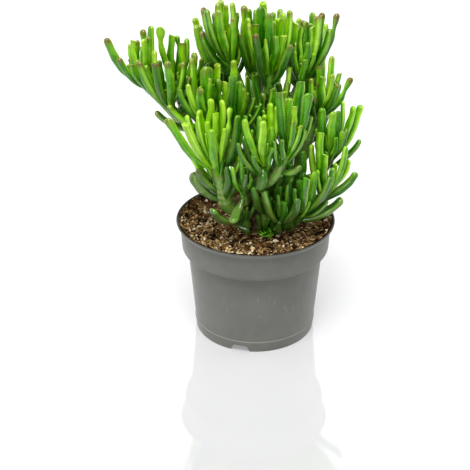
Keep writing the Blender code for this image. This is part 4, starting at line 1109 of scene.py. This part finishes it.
def arc(start, bend, tip):
    """Points of a leaf on one plain curve, as an array."""
    start, bend, tip = (np.array(tuple(p), dtype=float) for p in (start, bend, tip))
    u = np.linspace(0, 1, LEAF_POINTS)[:, None]
    return start * (1 - u) ** 2 + bend * 2 * u * (1 - u) + tip * u * u


def ramped(values, low, high):
    """Nought to one with smooth ends, as values go from low to high."""
    t = np.clip((values - low) / (high - low), 0, 1)
    return t * t * (3 - 2 * t)


def swept(points, radius, facing, kind, age, blush, rng):
    """A leaf's vertices, faces and values, swept along its points (an array) and closed by its tip.

    Its inner side, away from the way it faces, is flattened into a shallow channel between two rims.
    """
    tip = TIP_KINDS[kind]
    steps = np.linalg.norm(np.diff(points, axis=0), axis=1)
    run = np.concatenate([[0], np.cumsum(steps)])
    length = run[-1]
    radius = radius * LEAF_WIDEN
    end_radius = radius * (1 - TIP_NARROWING * 0.5) * (1 + tip["flare"])
    advances, shrinks = np.array(tip["cap"]).T
    body_end = length - advances.max() * end_radius
    shares = np.linspace(0, 1, BODY_RINGS + 1) ** RING_CROWDING
    places = np.concatenate([shares * body_end, body_end + advances * end_radius])
    scales = np.concatenate([np.ones(BODY_RINGS + 1), shrinks])
    share = np.clip(places / length, 0, 1)
    near_tip = ramped(places, body_end - END_REACH * radius, body_end)
    pinch = np.exp(-((places - (body_end - NECK_BACK * radius)) / (NECK_WIDTH * radius)) ** 2)
    widths = radius * (NECK + (1 - NECK) * ramped(share, 0, 0.55))
    taper = 1 - HEAD_TAPER * ramped(share, 0.6, 1)
    widths *= (1 + tip["flare"] * near_tip) * (1 - tip["neck"] * pinch) * taper * scales
    phases = rng.uniform(0, math.tau, 3)
    pitch = rng.uniform(*SWELLING_PITCH)
    widths *= 1 + SWELLING * np.sin(places / pitch * math.tau + phases[0])
    centres = np.array([np.interp(places, run, points[:, k]) for k in range(3)]).T
    ways = np.gradient(centres[:BODY_RINGS + 1], axis=0)
    ways = np.vstack([ways, np.tile(ways[-1], (len(tip["cap"]), 1))])
    ways /= np.linalg.norm(ways, axis=1)[:, None]
    side = np.tile(np.array(aim(facing + 90, 90)), (len(ways), 1))
    side -= ways * np.sum(side * ways, axis=1)[:, None]
    side /= np.linalg.norm(side, axis=1)[:, None]
    up = np.cross(ways, side)
    sway = (LEAST_SWAY + MORE_SWAY * abs(math.sin(3 * phases[2]))) * np.sin(share * 5 + phases[1])
    centres += side * (sway * ramped(share, 0.1, 0.5) * ramped(1 - share, 0, 0.3))[:, None]
    turns = np.arange(LEAF_SIDES) * math.tau / LEAF_SIDES
    across, inward = np.cos(turns), np.clip(np.sin(turns), 0, 1)
    channel = rng.uniform(*CHANNEL_DEPTH) * ramped(share, 0.08, 0.45)
    channel *= 1 - 0.5 * ramped(share, 0.85, 1)
    flat_side = 0.52 * inward ** 0.7 - 0.15 * np.exp(-(across / 0.45) ** 2) * (inward > 0)
    rounded = np.sin(turns) * (1 + 0.06 * np.sin(turns + phases[2]))
    thickness = rounded + channel[:, None] * (flat_side - inward) * (inward > 0)
    dent = tip["dent"] * near_tip[:, None] * inward ** 2
    thickness = thickness * (1 - tip["flat"] * near_tip)[:, None] - dent
    width = across * (1 + 0.5 * tip["flat"] * near_tip)[:, None]
    slope = -tip["tilt"] * near_tip * end_radius * scales
    vertices = (centres[:, None] + side[:, None] * (widths[:, None] * width)[..., None]
                + up[:, None] * (widths[:, None] * thickness)[..., None]
                + ways[:, None] * (slope[:, None] * np.sin(turns))[..., None])
    rings = len(places)
    vertices = np.vstack([vertices.reshape(-1, 3), centres[-1]])
    faces = [quad for ring in range(rings - 1) for quad in quads_round(ring * LEAF_SIDES, LEAF_SIDES)]
    last = (rings - 1) * LEAF_SIDES
    faces += [(last + k, last + (k + 1) % LEAF_SIDES, rings * LEAF_SIDES) for k in range(LEAF_SIDES)]
    faces.append(tuple(reversed(range(LEAF_SIDES))))
    freshness = 0.9 * max(0.0, 0.5 - age) * (1 - ramped(share, 0.04, 0.34)) + 0.12 * ramped(share, 0.6, 1)
    lengthwise = 0.10 * np.sin(2 * turns + phases[0]) + 0.06 * np.sin(5 * turns + phases[1])
    ages = np.repeat(age - freshness, LEAF_SIDES) + np.tile(lengthwise - 0.07 * inward, rings)
    rim = ramped(places, body_end - 1.3 * radius, body_end + 0.5 * end_radius)
    # Painted highlight and glow along the two side rims, partly their own paler colour; strongest on
    # young leaves
    edge = np.outer(ramped(share, 0.1, 0.5), np.clip((np.abs(across) - 0.8) / 0.2, 0, 1)).ravel()
    edge *= max(0.3, 1.1 - age)
    return vertices, faces, {
        "age": np.append(ages, ages[-1]), "blush": np.append(np.repeat(rim * blush, LEAF_SIDES), blush),
        "edge": np.append(edge, 0), "bark": np.zeros(len(vertices))}


def wooden(vertices, faces, bark):
    """A body of a stem with its values: the bark value is how much of it is green bark."""
    plain = np.zeros(len(vertices))
    values = {"age": plain + STEM_AGE, "blush": plain, "edge": plain, "bark": plain + bark}
    return np.array([tuple(v) for v in vertices]), faces, values


def stem_skin(points, radii):
    """A shoot's stem from inside its collar to its head, with a swollen ring at each leaf scar."""
    first = (points[1] - points[0]).normalized()
    points = [points[0] - first * STEM_SUNK] + points
    radii = [radii[0]] + radii
    fine, widths = [], []
    travelled = 0.0
    for a, b, ra, rb in zip(points, points[1:], radii, radii[1:]):
        count = max(2, math.ceil((b - a).length / STEM_STEP))
        for i in range(count):
            fine.append(a.lerp(b, i / count))
            ring = SCAR_SWELL * math.cos(travelled / SCAR_SPACING * math.tau) ** 5
            widths.append((ra + (rb - ra) * i / count) * (1 + ring))
            travelled += (b - a).length / count
    head = (points[-1] - points[-2]).normalized()
    for rise, shrink in STEM_HEAD:
        fine.append(points[-1] + head * radii[-1] * rise)
        widths.append(radii[-1] * shrink)
    run = np.repeat(np.linspace(0, 1, len(fine)), LEAF_SIDES)
    return wooden(*tube(fine, widths, LEAF_SIDES), np.clip(1.25 - 0.9 * run, 0, 1))


def knob(points, radii):
    """The round node at a stem's foot, where it leaves its collar."""
    way = (points[1] - points[0]).normalized()
    turns = [math.radians(a) for a in range(-84, 85, 14)]
    radius = radii[0] * KNOB_SWELL
    middles = [points[0] + way * radius * math.sin(a) for a in turns]
    return wooden(*tube(middles, [radius * math.cos(a) for a in turns], LEAF_SIDES), 1.0)


def young_leaves(shoot, rng):
    """New leaves at a stem's growing tip: (place, heading, lean, length, radius)."""
    start = rng.uniform(0, 360)
    for k in range(YOUNG_LEAVES):
        length = 18 - 2.1 * k + rng.uniform(-1.5, 1.5)
        lean = 34 - 5 * k + rng.uniform(-4, 4)
        yield 1.0, start + k * 180 + (k // 2) * 90, lean, length, 0.9 + 0.045 * length


def leafy_piece(name, bodies):
    """One shown object of several bodies, with their values for the leaf material."""
    vertices = np.vstack([body[0] for body in bodies])
    starts = np.cumsum([0] + [len(body[0]) for body in bodies])
    faces = [tuple(start + i for i in face)
             for body, start in zip(bodies, starts.tolist()) for face in body[1]]
    made = piece(name, vertices, faces, leaf_finish)
    for label in ("age", "blush", "edge", "bark"):
        give_values(made.data, label, np.concatenate([body[2][label] for body in bodies]))
    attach(made, "root")
    return made


def fine_line(shoot, t, heading, lean, length):
    """Points of a leaf as an array, close enough to sweep it along them."""
    return np.array([tuple(p) for p in leaf_line(shoot, t, heading, lean, length, LEAF_POINTS)])


def own_look(looks, shoot_name, number, usual):
    """What a table gives for one leaf, or else what is usual."""
    return looks.get(shoot_name, {}).get(number, usual)


splits = [split_stem(shoot) for shoot in SHOOTS]
leaves = foliage(splits)
for shoot, (_, stem) in zip(SHOOTS, splits):
    name = shoot[0]
    rng = np.random.default_rng(SEED * 100 + len(name) + sum(map(ord, name)))
    age, blush = SHOOT_LOOKS.get(name, MIDDLING)
    bodies = [stem_skin(*stem), knob(*stem)]
    for number, (t, heading, lean, length, radius) in enumerate(leaves[name]):
        usual_tip = USUAL_TIPS[rng.integers(len(USUAL_TIPS))], heading + rng.uniform(*FACING_SPREAD)
        usual_age = min(1.0, age + 0.5 * (0.6 - t) + rng.uniform(-AGE_SPREAD, AGE_SPREAD))
        usual_blush = min(1.0, blush * rng.uniform(*BLUSH_SPREAD))
        kind, facing = own_look(MARKED_TIPS, name, number, usual_tip)
        leaf_age = own_look(ODD_AGES, name, number, usual_age)
        leaf_blush = own_look(BROWN_TIPS, name, number, usual_blush)
        line = fine_line(shoot, t, heading, lean, length)
        bodies.append(swept(line, radius, facing, kind, leaf_age, leaf_blush, rng))
        values = bodies[-1][2]
        values["bark"] += own_look(DUSTY_LEAVES, name, number, 0.0)
        scar = own_look(SCARRED_TIPS, name, number, None)
        if scar:
            first = (BODY_RINGS + 1) * LEAF_SIDES
            values["edge"][first:first + 3 * LEAF_SIDES] = scar
    for start, bend, tip, radius, stray_age in STRAY_LEAVES.get(name, []):
        bodies.append(swept(arc(start, bend, tip), radius, STRAY_FACING, "blunt", stray_age, 0.0, rng))
    for t, heading, lean, length, radius in young_leaves(shoot, rng):
        line = fine_line(shoot, t, heading, lean, length)
        kind = YOUNG_TIPS[rng.integers(2)]
        bodies.append(swept(line, radius, heading, kind, 0.45 * age, 0.1, rng))
    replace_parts(leafy_piece(f"leaves_{name}", bodies), f"shoot_{name}")

# Sprig: a seedling of the same plant that came up in front of the trunk, a few crinkled leaflets
# from one root in the soil. A leaflet is (heading, lean, length).
SPRIG_AT = (7.5, -18.5)
SPRIG_LEAVES = [(200, 54, 8), (250, 60, 7), (320, 50, 8), (350, 64, 7), (285, 28, 6), (170, 38, 7),
                (60, 24, 7)]
SPRIG_RADIUS = 2.0
SPRIG_AGE = 0.38
SPRIG_SEED = 5
rng = np.random.default_rng(SPRIG_SEED)
root = Vector((*SPRIG_AT, soil_height(*SPRIG_AT) - 0.5))
bodies = []
for heading, lean, length in SPRIG_LEAVES:
    tip = root + aim(heading, lean) * length + Vector((0, 0, 1.5))
    bend = (root + tip) / 2 + Vector((0, 0, 1.6))
    bodies.append(swept(arc(root, bend, tip), SPRIG_RADIUS, heading, "crest", SPRIG_AGE, 0.0, rng))
leafy_piece("sprig", bodies)

# Studio floor: a white acrylic sheet far wider than the view, lit from below a little and polished
# enough to mirror the pot faintly.
FLOOR_HALF = 6000
FLOOR_WHITE = (0.385, 0.385, 0.39, 1.0)
FLOOR_GLOW = 0.23
floor_finish, tree, shader = new_finish("floor_white", {
    "Base Color": FLOOR_WHITE, "Roughness": 0.06, "Specular IOR Level": 1.0,
    "Emission Color": (1.0, 1.0, 1.0, 1.0), "Emission Strength": FLOOR_GLOW})
corners = [(x * FLOOR_HALF, y * FLOOR_HALF, 0) for x, y in ((-1, -1), (1, -1), (1, 1), (-1, 1))]
floor = piece("studio_floor", corners, [(0, 1, 2, 3)], floor_finish)

# Studio light: a faint even surround, a crisp and a soft key from above in front, a low front key,
# and white panels behind, which the floor mirrors, and at both sides.
SURROUND = 0.20
# Suns: the way they stand, how wide they look in degrees, and strength
SUNS = {
    "key": ((-0.10, -0.42, 1.10), 22, 1.50),
    "soft_key": ((0.0, -0.50, 1.00), 80, 0.68),
    "front_key": ((-0.30, -1.00, 0.42), 14, 0.42),
}
# Panels: place, width and height in metres, and power in watts
PANELS = {
    "back_panel": ((0.0, 2.4, 1.25), 3.6, 2.2, 24.0),
    "left_panel": ((-1.5, 0.5, 0.7), 1.2, 1.4, 7.0),
    "right_panel": ((1.5, 0.5, 0.7), 1.2, 1.4, 7.0),
}
PLANT_MIDDLE = Vector((0, 0, 0.14))


def pointed(name, data, way, place=(0, 0, 0)):
    """A lamp or camera at a place, which looks one way."""
    made = bpy.data.objects.new(name, data)
    made.location = place
    made.rotation_euler = way.to_track_quat("-Z", "Y").to_euler()
    bpy.context.scene.collection.objects.link(made)
    return made


world = bpy.data.worlds.new("studio")
world.use_nodes = True
world.node_tree.nodes["Background"].inputs["Color"].default_value = (1.0, 1.0, 1.0, 1.0)
world.node_tree.nodes["Background"].inputs["Strength"].default_value = SURROUND
bpy.context.scene.world = world
for name, (towards, width, strength) in SUNS.items():
    sun = bpy.data.lights.new(name, "SUN")
    sun.energy = strength
    sun.angle = math.radians(width)
    pointed(name, sun, -Vector(towards))
for name, (place, width, height, power) in PANELS.items():
    panel = bpy.data.lights.new(name, "AREA")
    panel.shape = "RECTANGLE"
    panel.size = width
    panel.size_y = height
    panel.energy = power
    pointed(name, panel, PLANT_MIDDLE - Vector(place), place)
bpy.context.scene.view_settings.view_transform = "Standard"
bpy.context.scene.view_settings.look = "High Contrast"

# Camera: a long lens a step away, looking down on the pot at a point a little to its left. Its
# distance and its target are in metres.
CAMERA_TARGET = Vector((-0.0155, 0, 0.0763))
CAMERA_DOWN = 28.3
CAMERA_DISTANCE = 0.9
CAMERA_LENS = 90.3
eye = bpy.data.cameras.new("camera")
eye.lens = CAMERA_LENS
eye.sensor_width = 36
down = math.radians(CAMERA_DOWN)
place = CAMERA_TARGET + Vector((0, -math.cos(down), math.sin(down))) * CAMERA_DISTANCE
bpy.context.scene.camera = pointed("camera", eye, CAMERA_TARGET - place, place)
